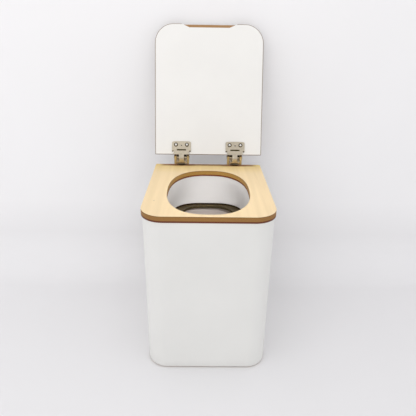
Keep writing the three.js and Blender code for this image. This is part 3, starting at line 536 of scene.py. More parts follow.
def scorch_and_shade_mask(finish, opening):
    """Where the plate's face turns brown: laser browning round the hole's rim, and along the rear edge
    laser browning with painted shade, strongest beside the hinges.
    """
    width, length, centre, power = opening
    along, off_centre = finish.axis("Y"), finish.apart(finish.axis("X"), 0.0)
    near = finish.spread(off_centre, *SCORCH_AND_SHADE_ENDS, to_high=SCORCH_AND_SHADE_DEPTHS["rear"])
    for place in (-HINGE_OFFSET, HINGE_OFFSET):
        beside = finish.apart(finish.axis("X"), place)
        hinge = finish.spread(beside, *HINGE_SHADE_AND_SCORCH, to_high=SCORCH_AND_SHADE_DEPTHS["hinge"])
        near = finish.worked("ADD", near, hinge)
    rear = SEAT_HIGH.y
    # Along the rear edge: laser browning and painted shade together
    edge = finish.times(finish.spread(along, rear - SCORCH_AND_SHADE_REAR, rear - SCORCH_AND_SHADE_REAR / 2), near)
    ends = []
    for off, half in ((off_centre, width / 2), (finish.apart(along, centre), length / 2)):
        ends.append(finish.worked("POWER", finish.worked("DIVIDE", off, half), power))
    oval = finish.worked("ADD", *ends)
    near_rim = finish.spread(oval, 1.0 + SCORCH_RIM, 1.0 + SCORCH_RIM * SCORCH_RIM_SHARE)
    rim = finish.times(near_rim, SCORCH_AND_SHADE_DEPTHS["rim"])
    mottle = finish.spread(finish.noise(scale=240.0), 0.3, 0.7, to_low=0.75)
    return finish.worked("MAXIMUM", finish.times(edge, mottle), finish.times(rim, mottle))


def seat_marks(finish, base, colour, brown, opening):
    """The seat plate's knot, painted shade that darkens and warms its rear, and the laser's browning mixed
    with painted shade along the rear and beside the hinges.
    """
    spot = finish.add("ShaderNodeVectorMath", {0: finish.place, 1: KNOT}, operation="DISTANCE")
    knot = finish.spread(spot.outputs["Value"], *KNOT_FADE)
    base = finish.over(base, knot, 0.6, shaded(colour, 0.45))
    # Painted shade: the face darkened and warmed toward its rear edge
    rear_shaded = finish.mixed(1.0, base, REAR_SHADE_TINT, "MULTIPLY")
    rear_shade_mask = finish.spread(finish.axis("Y"), SEAT_HIGH.y - REAR_SHADE_LENGTH, SEAT_HIGH.y)
    base = finish.mixed(rear_shade_mask, base, rear_shaded)
    return finish.mixed(scorch_and_shade_mask(finish, opening), base, brown)


def ply_masks(finish, top, thick):
    """An edge's dark plies, a darker band at its top and its charred foot."""
    height = finish.axis("Z")
    wobble = finish.times(finish.noise(scale=35.0, detail=2.0), PLY_WOBBLE)
    share = finish.spread(finish.worked("ADD", height, wobble), top - thick, top, 0.0, PLIES / 2)
    plies = finish.spread(finish.apart(finish.worked("MODULO", share, 1.0), 0.5), 0.18, 0.3)
    rim, char = (
        finish.spread(height, top - thick * start, top - thick * end)
        for start, end in (RIM_SHARES, CHAR_SHARES)
    )
    return plies, rim, char


def cut_edge(name, colour, light, board=None):
    """A laser-cut edge, browned and streaked; board is its top and thickness where plies show."""
    finish = Finish(name, colour, roughness=0.62)
    plies, rim, char = ply_masks(finish, *board) if board else (0.0, 1.0, 0.0)
    streak = finish.noise(scale=210.0, place=finish.stretched(EDGE_STRETCH))
    base = finish.mixed(plies, shaded(colour, light), colour)
    base = finish.over(base, finish.spread(streak, 0.4, 0.75), 0.4, shaded(colour, 0.55))
    base = finish.over(base, rim, 0.5, shaded(colour, 0.5))
    base = finish.mixed(char, base, tinted(colour, CHAR_TINT))
    finish.dress(base, streak, low=0.55, high=0.72)
    finish.bump(streak, strength=0.25)
    return finish.material


def char_and_shade_finish(name, colour):
    """Near black, matt and a little crusty: laser char with painted shade in the seat's hinge rebates, and
    painted shade alone in the ring's rebate wall and the lid's eye holes.
    """
    finish = Finish(name, colour, roughness=0.8)
    finish.fill(finish.shader, {"Specular IOR Level": CHAR_SHEEN})
    crust = finish.noise(scale=300.0, detail=4.0)
    base = finish.mixed(finish.spread(crust, 0.4, 0.75), colour, shaded(colour, 3.0))
    finish.dress(base, crust, low=0.7, high=0.9)
    finish.bump(crust, strength=0.3)
    return finish.material


def moulded(name, colour, roughness):
    """Moulded or rolled plastic sheet with a fine skin texture."""
    finish = Finish(name, colour, roughness)
    cloud = finish.spread(finish.noise(scale=9.0), 0.3, 0.7)
    base = finish.mixed(cloud, shaded(colour, 0.96), shaded(colour, 1.02))
    finish.dress(base, finish.noise(scale=70.0), roughness - 0.06, roughness + 0.08)
    finish.bump(finish.noise(scale=700.0, detail=2.0), strength=0.05, distance=0.3 * MM)
    return finish.material


def plated(name, colour, roughness):
    """Bright plating over pressed steel: faint rolling lines, small wear marks, and painted shade in its
    crevices from an occlusion node.
    """
    finish = Finish(name, colour, roughness, metallic=1.0)
    roll = finish.noise(scale=900.0, detail=2.0, place=finish.stretched(ROLLING_STRETCH))
    cloud = finish.noise(scale=120.0)
    base = finish.mixed(finish.spread(cloud, 0.35, 0.7), colour, shaded(colour, 0.86))
    # Painted shade: crevices found by an occlusion node are darkened toward the near-black recess colour
    reach = {"Distance": CREVICE_SHADE_REACH}
    hidden = finish.add("ShaderNodeAmbientOcclusion", reach, samples=CREVICE_SHADE_SAMPLES)
    crevice_shade = finish.spread(hidden.outputs["AO"], 0.8, 0.3)
    base = finish.over(base, crevice_shade, 0.85, colours().tarnish)
    finish.dress(base, cloud, roughness - 0.05, roughness + 0.09)
    finish.bump(roll, strength=0.06, distance=0.2 * MM)
    return finish.material


def foot_rubber(name, colour):
    """Moulded rubber, matt and slightly pitted."""
    finish = Finish(name, colour, roughness=0.85)
    grit = finish.noise(scale=800.0)
    base = finish.mixed(finish.spread(grit, 0.4, 0.7), colour, shaded(colour, 2.2))
    finish.dress(base, grit, low=0.78, high=0.92)
    finish.bump(grit, strength=0.3, distance=0.3 * MM)
    return finish.material


def shared(name, make, colour, **options):
    """The material of that name, made the first time it is asked for."""
    return bpy.data.materials.get(name) or make(name, colour, **options)


def box_white():
    return shared("box_white", satin_board, colours().board, roughness=0.42)


def burnt_wood():
    return shared("burnt_wood", char_and_shade_finish, colours().burnt)


def zinc_plate():
    return shared("zinc_plate", plated, colours().zinc, roughness=0.34)


def corner_arc(x, y, radius, start, steps):
    """Points of a quarter turn, counter-clockwise from the start angle."""
    points = []
    for i in range(steps + 1):
        turn = start + QUARTER * i / steps
        points.append(Vector((x + radius * math.cos(turn), y + radius * math.sin(turn))))
    return points


def plate_outline(half, front, rear, front_radius, rear_radius, steps=CORNER_STEPS):
    """A plate seen from above, with its own radius for front and rear corners."""
    x, y = half - front_radius, front + front_radius
    rear_x, rear_y = half - rear_radius, rear - rear_radius
    points = corner_arc(x, y, front_radius, -QUARTER, steps)
    points += corner_arc(rear_x, rear_y, rear_radius, 0.0, steps)
    points += corner_arc(-rear_x, rear_y, rear_radius, QUARTER, steps)
    points += corner_arc(-x, y, front_radius, math.pi, steps)
    return points


def oval_outline(width, length, centre, power, count=OVAL_POINTS):
    """An oval, with squared shoulders where the power is over 2."""
    points = []
    for i in range(count):
        across, along = math.cos(TURN * i / count), math.sin(TURN * i / count)
        x = math.copysign(abs(across) ** (2 / power), across) * width / 2
        y = math.copysign(abs(along) ** (2 / power), along) * length / 2
        points.append(Vector((x, centre + y)))
    return points


def skirt_lip():
    """Width and length of the skirt's lower edge."""
    s = sizes()
    return s.hole_width + 2 * SKIRT_FLARE_SIDE, s.hole_length + SKIRT_FLARE_REAR - SKIRT_DRAW_FRONT


def hole_centre():
    """How far back the middle of the seat plate's hole lies."""
    s = sizes()
    return SEAT_LOW.y + s.hole_margin + s.hole_length / 2


def eased(share):
    """The share on a curve that starts and ends level."""
    return share * share * (3 - 2 * share)


def skirt_outline(share, grow):
    """The skirt seen from above: share 0 is its lower edge and share 1 its top."""
    s = sizes()
    blend = eased(share)

    def between(low, high):
        return low + (high - low) * blend

    low_width, low_length = skirt_lip()
    width = between(low_width, s.hole_width + 2 * SKIRT_OFFSET)
    length = between(low_length, s.hole_length + 2 * SKIRT_OFFSET)
    shift = between((SKIRT_FLARE_REAR + SKIRT_DRAW_FRONT) / 2, 0.0)
    power = between(SKIRT_LOW_POWER, s.hole_power)
    return oval_outline(width + 2 * grow, length + 2 * grow, hole_centre() + shift, power)


def at_height(flat, z):
    """The outline's points, raised to a height."""
    return [Vector((p.x, p.y, z)) for p in flat]


def smooth(mesh):
    for polygon in mesh.polygons:
        polygon.use_smooth = True


def even_shading(obj):
    """Shades flat faces flat beside small roundings."""
    weighted = obj.modifiers.new("even_shading", "WEIGHTED_NORMAL")
    weighted.keep_sharp = True


def mesh_object(name, mesh, materials, body, node, angle=SOFT_ANGLE):
    """Puts a finished mesh in the scene, parents it to its body and hides the frame node it stands for."""
    mesh.name = name
    smooth(mesh)
    mesh.set_sharp_from_angle(angle=math.radians(angle))
    obj = bpy.data.objects.new(name, mesh)
    bpy.context.scene.collection.objects.link(obj)
    for material in materials:
        mesh.materials.append(material)
    even_shading(obj)
    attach(obj, body)
    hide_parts(node)
    return obj


def mesh_of(obj):
    """The object's mesh with its modifiers applied."""
    graph = bpy.context.evaluated_depsgraph_get()
    return bpy.data.meshes.new_from_object(obj.evaluated_get(graph))


def mesh_from(work, name):
    """A new mesh from the worked one, which is used up."""
    bmesh.ops.recalc_face_normals(work, faces=work.faces)
    mesh = bpy.data.meshes.new(name)
    work.to_mesh(mesh)
    work.free()
    return mesh


def welded(mesh):
    """Merges doubled corners and turns every face outwards."""
    work = bmesh.new()
    work.from_mesh(mesh)
    bmesh.ops.remove_doubles(work, verts=work.verts, dist=SAME_POINT)
    bmesh.ops.recalc_face_normals(work, faces=work.faces)
    work.to_mesh(mesh)
    work.free()
    mesh.update()


def cut_board(name, outlines, low, high, edge):
    """A board cut to outlines, the first outside and the others holes, with sanded edges."""
    curve = bpy.data.curves.new(name + "_outline", "CURVE")
    curve.dimensions = "2D"
    curve.fill_mode = "BOTH"
    curve.extrude = (high - low) / 2 - edge
    curve.bevel_depth = edge
    curve.bevel_resolution = EASE_STEPS
    curve.offset = -edge
    for points in outlines:
        spline = curve.splines.new("POLY")
        spline.points.add(len(points) - 1)
        for target, point in zip(spline.points, points):
            target.co = (point.x, point.y, 0.0, 1.0)
        spline.use_cyclic_u = True
    holder = bpy.data.objects.new(name + "_outline", curve)
    bpy.context.scene.collection.objects.link(holder)
    mesh = mesh_of(holder)
    bpy.data.objects.remove(holder)
    bpy.data.curves.remove(curve)
    mesh.materials.clear()
    mesh.transform(Matrix.Translation((0.0, 0.0, (low + high) / 2)))
    welded(mesh)
    return mesh


def carved(mesh, cutter):
    """The mesh less a cutter mesh; both are used up."""
    board = bpy.data.objects.new("blank", mesh)
    tool = bpy.data.objects.new("tool", cutter)
    for item in (board, tool):
        bpy.context.scene.collection.objects.link(item)
    cut = board.modifiers.new("cut", "BOOLEAN")
    cut.object = tool
    cut.operation = "DIFFERENCE"
    cut.solver = "EXACT"
    result = mesh_of(board)
    for item in (board, tool):
        bpy.data.objects.remove(item)
    welded(result)
    return result


def ring_mesh(name, rings, closed):
    """A skin over rings of equal count, closed on itself or else capped at both ends."""
    work = bmesh.new()
    rows = [[work.verts.new(p) for p in ring] for ring in rings]
    count = len(rows[0])
    pairs = list(zip(rows, rows[1:]))
    if closed:
        pairs.append((rows[-1], rows[0]))
    for low, high in pairs:
        for i in range(count):
            j = (i + 1) % count
            work.faces.new((low[i], low[j], high[j], high[i]))
    if not closed:
        work.faces.new(rows[0][::-1])
        work.faces.new(rows[-1])
    return mesh_from(work, name)


def dressed(node, materials, ease_width):
    """Keeps a frame node, with welded and eased edges and its own finish."""
    obj = frame["nodes"][node]
    obj.data.materials.clear()
    for material in materials:
        obj.data.materials.append(material)
    weld = obj.modifiers.new("weld", "WELD")
    weld.merge_threshold = SAME_POINT
    ease = obj.modifiers.new("ease", "BEVEL")
    ease.width = ease_width
    ease.segments = EASE_STEPS
    ease.limit_method = "ANGLE"
    ease.angle_limit = math.radians(SOFT_ANGLE)
    ease.harden_normals = False
    even_shading(obj)
    smooth(obj.data)
    return obj


class DRYTOILET_OT_seat_plate(bpy.types.Operator):
    """Cut the birch seat plate with its oval hole and the two hinge rebates"""

    bl_idname = "dry_toilet.seat_plate"
    bl_label = "Seat plate"
    FACE, EDGE, REBATE, HOLE = range(4)

    def execute(self, context):
        s, c = sizes(), colours()
        front, rear = SEAT_LOW.y, SEAT_HIGH.y
        low, top = SEAT_LOW.z, SEAT_HIGH.z
        outline = plate_outline(SEAT_HIGH.x, front, rear, s.front_radius, s.rear_radius)
        opening = (s.hole_width, s.hole_length, hole_centre(), s.hole_power)
        edge = s.edge_round * PLATE_EASE_SHARE
        mesh = cut_board("birch_plate", [outline, oval_outline(*opening)], low, top, edge)
        for centre in (HINGE_OFFSET, -HINGE_OFFSET):
            mesh = carved(mesh, self.rebate(centre))
        for polygon in mesh.polygons:
            polygon.material_index = self.finish_of(polygon)

        def marks(finish, base):
            return seat_marks(finish, base, c.birch, c.scorch_and_shade, opening)

        board = (top, top - low)
        materials = [
            veneer("birch_face", c.birch, along="Y", marks=marks),
            cut_edge("browned_edge", c.browned, light=1.6, board=board),
            # The hinge rebates: laser char, painted near black as shade in the pocket
            burnt_wood(),
            # The hole's edge: a lighter copy of the laser-cut edge colour, painted light
            cut_edge("lit_hole_edge", c.hole_edge_lit, light=1.6, board=board),
        ]
        mesh_object("birch_plate", mesh, materials, "seat_top", "seat_plate")
        return {"FINISHED"}

    @staticmethod
    def rebate(centre):
        """Half-round cutter for the shallow rebate that clears a hinge."""
        rear, top = SEAT_HIGH.y, SEAT_HIGH.z
        flat = [Vector((centre + side * REBATE_HALF, rear + CUT_OVER)) for side in (1, -1)]
        for i in range(REBATE_STEPS + 1):
            turn = math.pi * i / REBATE_STEPS
            x, y = REBATE_HALF * math.cos(turn), REBATE_LENGTH * math.sin(turn)
            flat.append(Vector((centre - x, rear - y)))
        rings = [at_height(flat, z) for z in (top - REBATE_DEPTH, top + CUT_OVER)]
        return ring_mesh("rebate", rings, closed=False)

    @staticmethod
    def finish_of(polygon):
        """Which of the plate's finishes a face gets."""
        s, places = sizes(), DRYTOILET_OT_seat_plate
        middle, rear, top = polygon.center, SEAT_HIGH.y, SEAT_HIGH.z
        beside = abs(abs(middle.x) - HINGE_OFFSET) < REBATE_HALF + FACE_ROOM
        inside = rear - REBATE_LENGTH - FACE_ROOM < middle.y < rear - CLOSE
        below = top - REBATE_DEPTH - FACE_ROOM < middle.z < top - s.edge_round
        if beside and inside and below:
            return places.REBATE
        if abs(polygon.normal.z) >= SIDEWAYS:
            return places.FACE
        across = abs(middle.x) < s.hole_width / 2 + HOLE_ROOM
        along = abs(middle.y - hole_centre()) < s.hole_length / 2 + HOLE_ROOM
        return places.HOLE if across and along else places.EDGE


class DRYTOILET_OT_shell(bpy.types.Operator):
    """Bend the white board round the front and both sides of the box"""

    bl_idname = "dry_toilet.shell"
    bl_label = "Box board"

    def execute(self, context):
        s, c = sizes(), colours()
        thick, radius = s.shell_thick, s.front_radius - s.overhang
        outer = self.bend(SHELL_HIGH.x, SHELL_LOW.y, radius)
        inner = self.bend(SHELL_HIGH.x - thick, SHELL_LOW.y + thick, radius - thick)
        edge = s.edge_round * SHELL_EASE_SHARE
        mesh = cut_board("box_board", [outer + inner[::-1]], SHELL_LOW.z, SHELL_HIGH.z, edge)
        for polygon in mesh.polygons:
            normal, middle = polygon.normal, polygon.center
            at_back = normal.y > SIDEWAYS and abs(middle.y - SHELL_HIGH.y) < CLOSE
            polygon.material_index = int(abs(normal.z) > SIDEWAYS or at_back)
        raw = shared("raw_board_edge", veneer, c.raw, along="X", contrast=1.4)
        mesh_object("box_board", mesh, [box_white(), raw], "box", "shell")
        return {"FINISHED"}

    @staticmethod
    def bend(half, front, radius):
        """One side of the board, from its left end round the front to its right end."""
        x, y, rear = half - radius, front + radius, SHELL_HIGH.y
        left = corner_arc(-x, y, radius, math.pi, BEND_STEPS)
        right = corner_arc(x, y, radius, -QUARTER, BEND_STEPS)
        return [Vector((-half, rear)), *left, *right, Vector((half, rear))]


class DRYTOILET_OT_skirt(bpy.types.Operator):
    """Loft the white splash skirt that hangs from the hole into the tub"""

    bl_idname = "dry_toilet.skirt"
    bl_label = "Splash skirt"

    def execute(self, context):
        s, c = sizes(), colours()
        low, top = SKIRT_LOW.z, SKIRT_HIGH.z
        thick = s.skirt_thick
        under, ease = top - thick, thick * SKIRT_EASE_SHARE
        neck = under - thick
        room_front = SHELL_LOW.y + s.shell_thick + ROOM_IN_SHELL

        def ring(share, grow, z):
            return at_height(skirt_outline(share, grow), z)

        def flange_ring(grow, z):
            return [Vector((p.x, max(p.y, room_front), z)) for p in skirt_outline(1.0, grow)]

        shares = [i / SKIRT_STEPS for i in range(SKIRT_STEPS)]
        rings = [ring(1 - share, 0.0, top - (top - low) * share) for share in shares]
        rings += [ring(0.0, 0.0, low + ease), ring(0.0, ease, low), ring(0.0, thick - ease, low)]
        for share in shares:
            z = low + (top - low) * share
            if z < neck:
                rings.append(ring(share, thick, max(z, low + ease)))
        rings.append(ring((neck - low) / (top - low), thick, neck))
        flange = SKIRT_FLANGE - SKIRT_OFFSET
        rings += [
            flange_ring(thick * SKIRT_NECK_SHARE, under),
            flange_ring(flange - SKIRT_FLANGE_EASE, under),
            flange_ring(flange, under + thick / 2),
            flange_ring(flange - SKIRT_FLANGE_EASE, top),
        ]
        mesh = ring_mesh("skirt_sleeve", rings, closed=True)
        white = moulded("skirt_white", c.skirt, roughness=0.4)
        body, node, slot = "seat_top", "splash_skirt", "skirt_plastic"
        mesh_object("skirt_sleeve", mesh, [white], body, node, ROUND_ANGLE)
        return {"FINISHED"}


class DRYTOILET_OT_ring(bpy.types.Operator):
    """Cut the plywood ring under the skirt, with its rebate and smaller opening"""

    bl_idname = "dry_toilet.ring"
    bl_label = "Skirt ring"

    def execute(self, context):
        s, c = sizes(), colours()
        low, top = RING_LOW.z, RING_HIGH.z
        grow = RING_HIGH.x - max(p.x for p in skirt_outline(0.0, 0.0))
        wide, long = skirt_lip()
        shift = SKIRT_FLARE_REAR + SKIRT_DRAW_FRONT + RING_FRONT_LEDGE - RING_REAR_LEDGE
        opening = oval_outline(
            wide - 2 * RING_SIDE_LEDGE,
            long - RING_FRONT_LEDGE - RING_REAR_LEDGE,
            hole_centre() + shift / 2,
            SKIRT_LOW_POWER,
        )
        step, ease = top - RING_STEP, s.edge_round * RING_EASE_SHARE
        outer, rebate = skirt_outline(0.0, grow), skirt_outline(0.0, 0.0)
        levels = [
            (outer, low), (outer, top - ease), (skirt_outline(0.0, grow - ease), top),
            (skirt_outline(0.0, ease), top), (rebate, top - ease), (rebate, step),
            (opening, step), (opening, low),
        ]
        mesh = ring_mesh("plywood_ring", [at_height(flat, z) for flat, z in levels], closed=True)
        # The rebate's wall gets the near-black burnt finish: a painted shadow line under the skirt's lip
        wall = [flat for flat, z in levels].index(rebate)
        for polygon in mesh.polygons:
            sideways = abs(polygon.normal.z) < SIDEWAYS
            polygon.material_index = 2 if polygon.index // len(rebate) == wall else int(sideways)
        # The ring's face and edge take its near-black colour: painted shade under the skirt's lip
        face = shared("ring_face", veneer, c.ring, along="X", contrast=1.4)
        materials = [face, cut_edge("ring_edge_shade", c.ring, light=1.1), burnt_wood()]
        mesh_object("plywood_ring", mesh, materials, "seat_top", "skirt_ring")
        return {"FINISHED"}


class DRYTOILET_OT_tub(bpy.types.Operator):
    """Mould the loose tub with its rounded foot and turned-down rim"""

    bl_idname = "dry_toilet.tub"
    bl_label = "Tub"

    def execute(self, context):
        low, top, wall = TUB_LOW.z, TUB_HIGH.z, sizes().tub_wall
        shares = [i / TUB_STEPS for i in range(1, TUB_STEPS + 1)]
        rings = [self.foot_ring(step, low, 0.0, TUB_FOOT_SHARE) for step in range(TUB_FOOT_STEPS + 1)]
        rings += self.side_rings(shares, low, top - wall, 0.0)
        rings += self.rim_rings(top, wall)
        rings += self.side_rings([1 - share for share in shares], low + wall, top, -wall)
        for step in reversed(range(TUB_FOOT_STEPS)):
            rings.append(self.foot_ring(step, low + wall, -wall, 1.0))
        mesh = ring_mesh("tub_body", rings, closed=False)
        plastic = moulded("tub_white", colours().tub, roughness=0.34)
        mesh_object("tub_body", mesh, [plastic], "tub", "tub", ROUND_ANGLE)
        return {"FINISHED"}

    @staticmethod
    def ring(share, grow, z, grow_y=None):
        """The tub's outline: share 0 is its foot, share 1 its mouth, and it may be grown."""
        grow_y = grow if grow_y is None else grow_y
        centre = (TUB_LOW.y + TUB_HIGH.y) / 2
        mouth = Vector((TUB_HIGH.x - TUB_RIM, (TUB_HIGH.y - TUB_LOW.y) / 2 - TUB_RIM_END))
        half = Vector(TUB_LOW_HALF).lerp(mouth, share)
        x, y = half.x + grow, half.y + grow_y
        radius = TUB_LOW_RADIUS + (TUB_RADIUS - TUB_LOW_RADIUS) * share
        radius = max(radius + min(grow, grow_y), TUB_LEAST_RADIUS)
        front, rear = centre - y, centre + y
        return at_height(plate_outline(x, front, rear, radius, radius, TUB_CORNER_STEPS), z)

    def foot_ring(self, step, low, grow, share):
        """A ring of the rounded foot, from step 0 on the ground to the last one up its side."""
        turn = QUARTER * step / TUB_FOOT_STEPS
        inward = TUB_FOOT * (1 - math.sin(turn)) * share
        return self.ring(0.0, grow - inward, low + TUB_FOOT * (1 - math.cos(turn)))

    def side_rings(self, shares, low, high, grow):
        """Rings on the sloping side, at shares of its height between foot and top."""
        start, end = low + TUB_FOOT, high - TUB_ROUND
        heights = [start + (end - start) * share for share in shares]
        tall = TUB_HIGH.z - TUB_LOW.z
        return [self.ring((z - TUB_LOW.z) / tall, grow, z) for z in heights]

    def rim_rings(self, top, wall):
        """Rings out under the rim, down and up its lip, and back over the top."""
        under, drop = top - wall, top - TUB_RIM_HEIGHT
        rim, end = TUB_RIM, TUB_RIM_END
        outside = [
            (TUB_NECK, under, TUB_EASE),
            (rim - wall, under, end - 2 * TUB_EASE),
            (rim - wall, drop, end - 2 * TUB_EASE),
            (rim - wall / 2, drop, end - TUB_LIP_ROUND / 2),
            (rim, drop + TUB_LIP_ROUND, end),
            (rim, top - TUB_ROUND, end),
            (rim - TUB_EASE, top - TUB_EASE, end - TUB_EASE / 3),
            (rim - TUB_ROUND, top, end - TUB_LIP_ROUND),
        ]
        inside = [
            (TUB_ROUND - wall, top),
            (TUB_EASE - wall, top - TUB_EASE),
            (-wall, top - TUB_ROUND),
        ]
        rings = [self.ring(1.0, grow, z, grow_y) for grow, z, grow_y in outside]
        return rings + [self.ring(1.0, grow, z) for grow, z in inside]


def lid_pose():
    """Turns lid pieces drawn about the pin to the open pose."""
    lean = sizes().lid_lean
    along = Vector((0.0, math.sin(lean), math.cos(lean)))
    out = Vector((0.0, -math.cos(lean), math.sin(lean)))
    across = along.cross(out)
    turn = Matrix((across, along, out)).transposed().to_4x4()
    turn.translation = PIN
    return turn


class DRYTOILET_OT_lid(bpy.types.Operator):
    """Cut the white-faced lid and its bevelled finger pull"""

    bl_idname = "dry_toilet.lid"
    bl_label = "Lid"
    FILM, EDGE, PULL, EYE, PULL_END = range(5)

    def execute(self, context):
        s, c = sizes(), colours()
        far = LID_EDGE + s.lid_length
        outline = plate_outline(s.lid_width / 2, -far, -LID_EDGE, s.front_radius, LID_REAR_RADIUS)
        outline = [-p for p in outline]
        low, top = LID_FACE - s.lid_thick, LID_FACE
        mesh = cut_board("lid_board", [outline], low, top, s.edge_round * LID_EASE_SHARE)
        mesh = carved(mesh, self.wedge(far))
        for centre in (-HINGE_OFFSET, HINGE_OFFSET):
            mesh = carved(mesh, self.drill(centre))
        for polygon in mesh.polygons:
            polygon.material_index = self.finish_of(polygon, far)
        mesh.transform(lid_pose())
        materials = [
            satin_board("lid_white", c.lid, roughness=0.38),
            # Browned edge of the lid, darkened as a painted shade line round it
            cut_edge("lid_edge_and_shade", c.lid_edge_and_shade, light=1.3),
            veneer("pull_wood", c.pull, along="X", contrast=1.5),
            burnt_wood(),
            # The pull's upright ends are a darker copy of its wood: painted shade
            veneer("shaded_pull_ends", shaded(c.pull, 0.45), along="X", contrast=1.5),
        ]
        mesh_object("lid_board", mesh, materials, "lid", "lid_panel", LID_ANGLE)
        return {"FINISHED"}

    @staticmethod
    def finish_of(polygon, far):
        """Which of the lid's finishes a face gets."""
        s, places = sizes(), DRYTOILET_OT_lid
        middle, level = polygon.center, abs(polygon.normal.z)
        across = abs(middle.x) < s.pull_width / 2 + CLOSE
        near_edge = far - s.pull_depth * PULL_BACK_SHARE < middle.y
        in_pull = across and near_edge and middle.z < LID_FACE - PULL_UNDER
        upright = level < PULL_STEEP and abs(polygon.normal.x) > PULL_STEEP
        high = middle.z > LID_FACE - s.pull_depth * PULL_DOWN_SHARE
        if in_pull and upright and middle.y < far - PULL_INSIDE:
            return places.PULL_END
        if in_pull and high and PULL_STEEP < level < LID_FLAT:
            return places.PULL
        # The holes under the hinge eyes get the near-black burnt finish: painted shade
        if math.hypot(abs(middle.x) - HINGE_OFFSET, middle.y - EYE_UP) < EYE_RADIUS:
            return places.EYE
        return places.EDGE if level < LID_FLAT else places.FILM

    @staticmethod
    def drill(centre):
        """A cutter for the blind hole under the eye of a hinge leaf."""
        width = 2 * (EYE_RADIUS - EYE_ROOM)
        circle = [p + Vector((centre, 0.0)) for p in oval_outline(width, width, EYE_UP, 2.0, EYE_STEPS)]
        rings = [at_height(circle, z) for z in (LID_FACE - EYE_DEPTH, LID_FACE + CUT_OVER)]
        return ring_mesh("drill", rings, closed=False)

    @staticmethod
    def wedge(far):
        """A tapering wedge that leaves the bevelled finger pull."""
        s = sizes()
        depth = s.pull_depth
        inner, wide, edge = s.pull_flat / 2, s.pull_width / 2, far - depth
        end, beyond = wide + (wide - inner) / depth * CUT_OVER, far + CUT_OVER
        low, over = LID_FACE - depth - CUT_OVER, LID_FACE + CUT_OVER
        corners = [
            (-inner, edge, LID_FACE), (inner, edge, LID_FACE), (end, beyond, low), (-end, beyond, low),
            (-inner, edge, over), (inner, edge, over), (end, beyond, over), (-end, beyond, over),
            (end, beyond, LID_FACE), (-end, beyond, LID_FACE),
        ]
        work = bmesh.new()
        points = [work.verts.new(p) for p in corners]
        for loop in (
            (0, 1, 2, 3), (4, 7, 6, 5), (0, 4, 5, 1), (3, 2, 8, 9), (9, 8, 6, 7),
            (1, 8, 2), (1, 5, 6, 8), (0, 3, 9), (0, 9, 7, 4),
        ):
            work.faces.new([points[i] for i in loop])
        return mesh_from(work, "lid_tool")


class DRYTOILET_OT_hinges(bpy.types.Operator):
    """Plate the hinge leaves, brackets and pins"""

    bl_idname = "dry_toilet.hinges"
    bl_label = "Hinges"

    def execute(self, context):
        c = colours()
        bright = shared("bright_nickel", plated, c.nickel, roughness=0.33)
        # Near-black plating for the hinges' recesses, tabs and bracket feet: painted shade
        recess = shared("tarnished_nickel", plated, c.tarnish, roughness=0.5)
        # Yellowed plating for the brackets: a painted reflection of the golden seat plate
        gilt = shared("gilt_nickel", plated, c.gilt, roughness=0.36)
        # A lighter copy of the nickel for the bar and inner faces: painted light
        lit_bar = shared("bar_nickel", plated, shaded(c.nickel, 1.3), roughness=0.55)
        for side in ("left", "right"):
            self.shade_leaf(dressed("hinge_leaf_" + side, [bright, recess, lit_bar], LEAF_EASE))
            bracket = dressed("hinge_bracket_" + side, [gilt, recess], BRACKET_EASE)
            # Bracket faces down at the plate's face get the near-black plating: painted shade under the
            # hinges
            for polygon in bracket.data.polygons:
                height = (bracket.matrix_world @ polygon.center).z
                polygon.material_index = int(height < SEAT_HIGH.z + FOOT_CLOSE)
            dressed("hinge_pin_" + side, [zinc_plate()], PIN_EASE)
        return {"FINISHED"}

    @staticmethod
    def shade_leaf(leaf):
        """Gives a leaf's dishes, groove, eyes, tabs and shut-in faces the near-black plating as painted
        shade, and its bar and other inner faces the lighter plating as painted light.
        """
        flat = lid_pose().inverted() @ leaf.matrix_world
        places = [flat @ polygon.center for polygon in leaf.data.polygons]
        centre = (min(p.x for p in places) + max(p.x for p in places)) / 2
        for polygon, place in zip(leaf.data.polygons, places):
            x, y, z = abs(place.x - centre), place.y, place.z
            reach, turn = math.hypot(y, z), math.degrees(math.atan2(-y, z))
            sunk = z < LEAF_TOP - LEAF_CLOSE
            dish = math.hypot(x - DISH_PLACE[0], y - DISH_PLACE[1]) < DISH_RADIUS
            groove = x < GROOVE_HALF[0] and abs(y - GROOVE_UP) < GROOVE_HALF[1]
            eye = math.hypot(x, y - EYE_UP) < EYE_RADIUS + LEAF_CLOSE
            inside = y < LID_EDGE and reach < LEAF_TOP - LEAF_CLOSE
            shut = inside and (y > RECESS_UP or turn > BAR_TURN)
            tab = y > LID_EDGE and z > LEAF_TOP + LEAF_CLOSE and x > TAB_FROM
            if (sunk and (dish or groove or eye)) or shut or tab:
                polygon.material_index = 1
            elif turn > BAR_TURN or inside:
                polygon.material_index = 2


class DRYTOILET_OT_screws(bpy.types.Operator):
    """Plate the screws of the hinges and the back panel"""

    bl_idname = "dry_toilet.screws"
    bl_label = "Screws"

    def execute(self, context):
        # The leaves' screws get a lighter copy of the zinc: a painted highlight on their heads
        highlight_zinc = shared("clean_zinc", plated, shaded(colours().zinc, 1.45), roughness=0.25)
        for node in frame["nodes"]:
            if "screw" in node:
                dressed(node, [highlight_zinc if node.startswith("leaf") else zinc_plate()], SCREW_EASE)
        return {"FINISHED"}


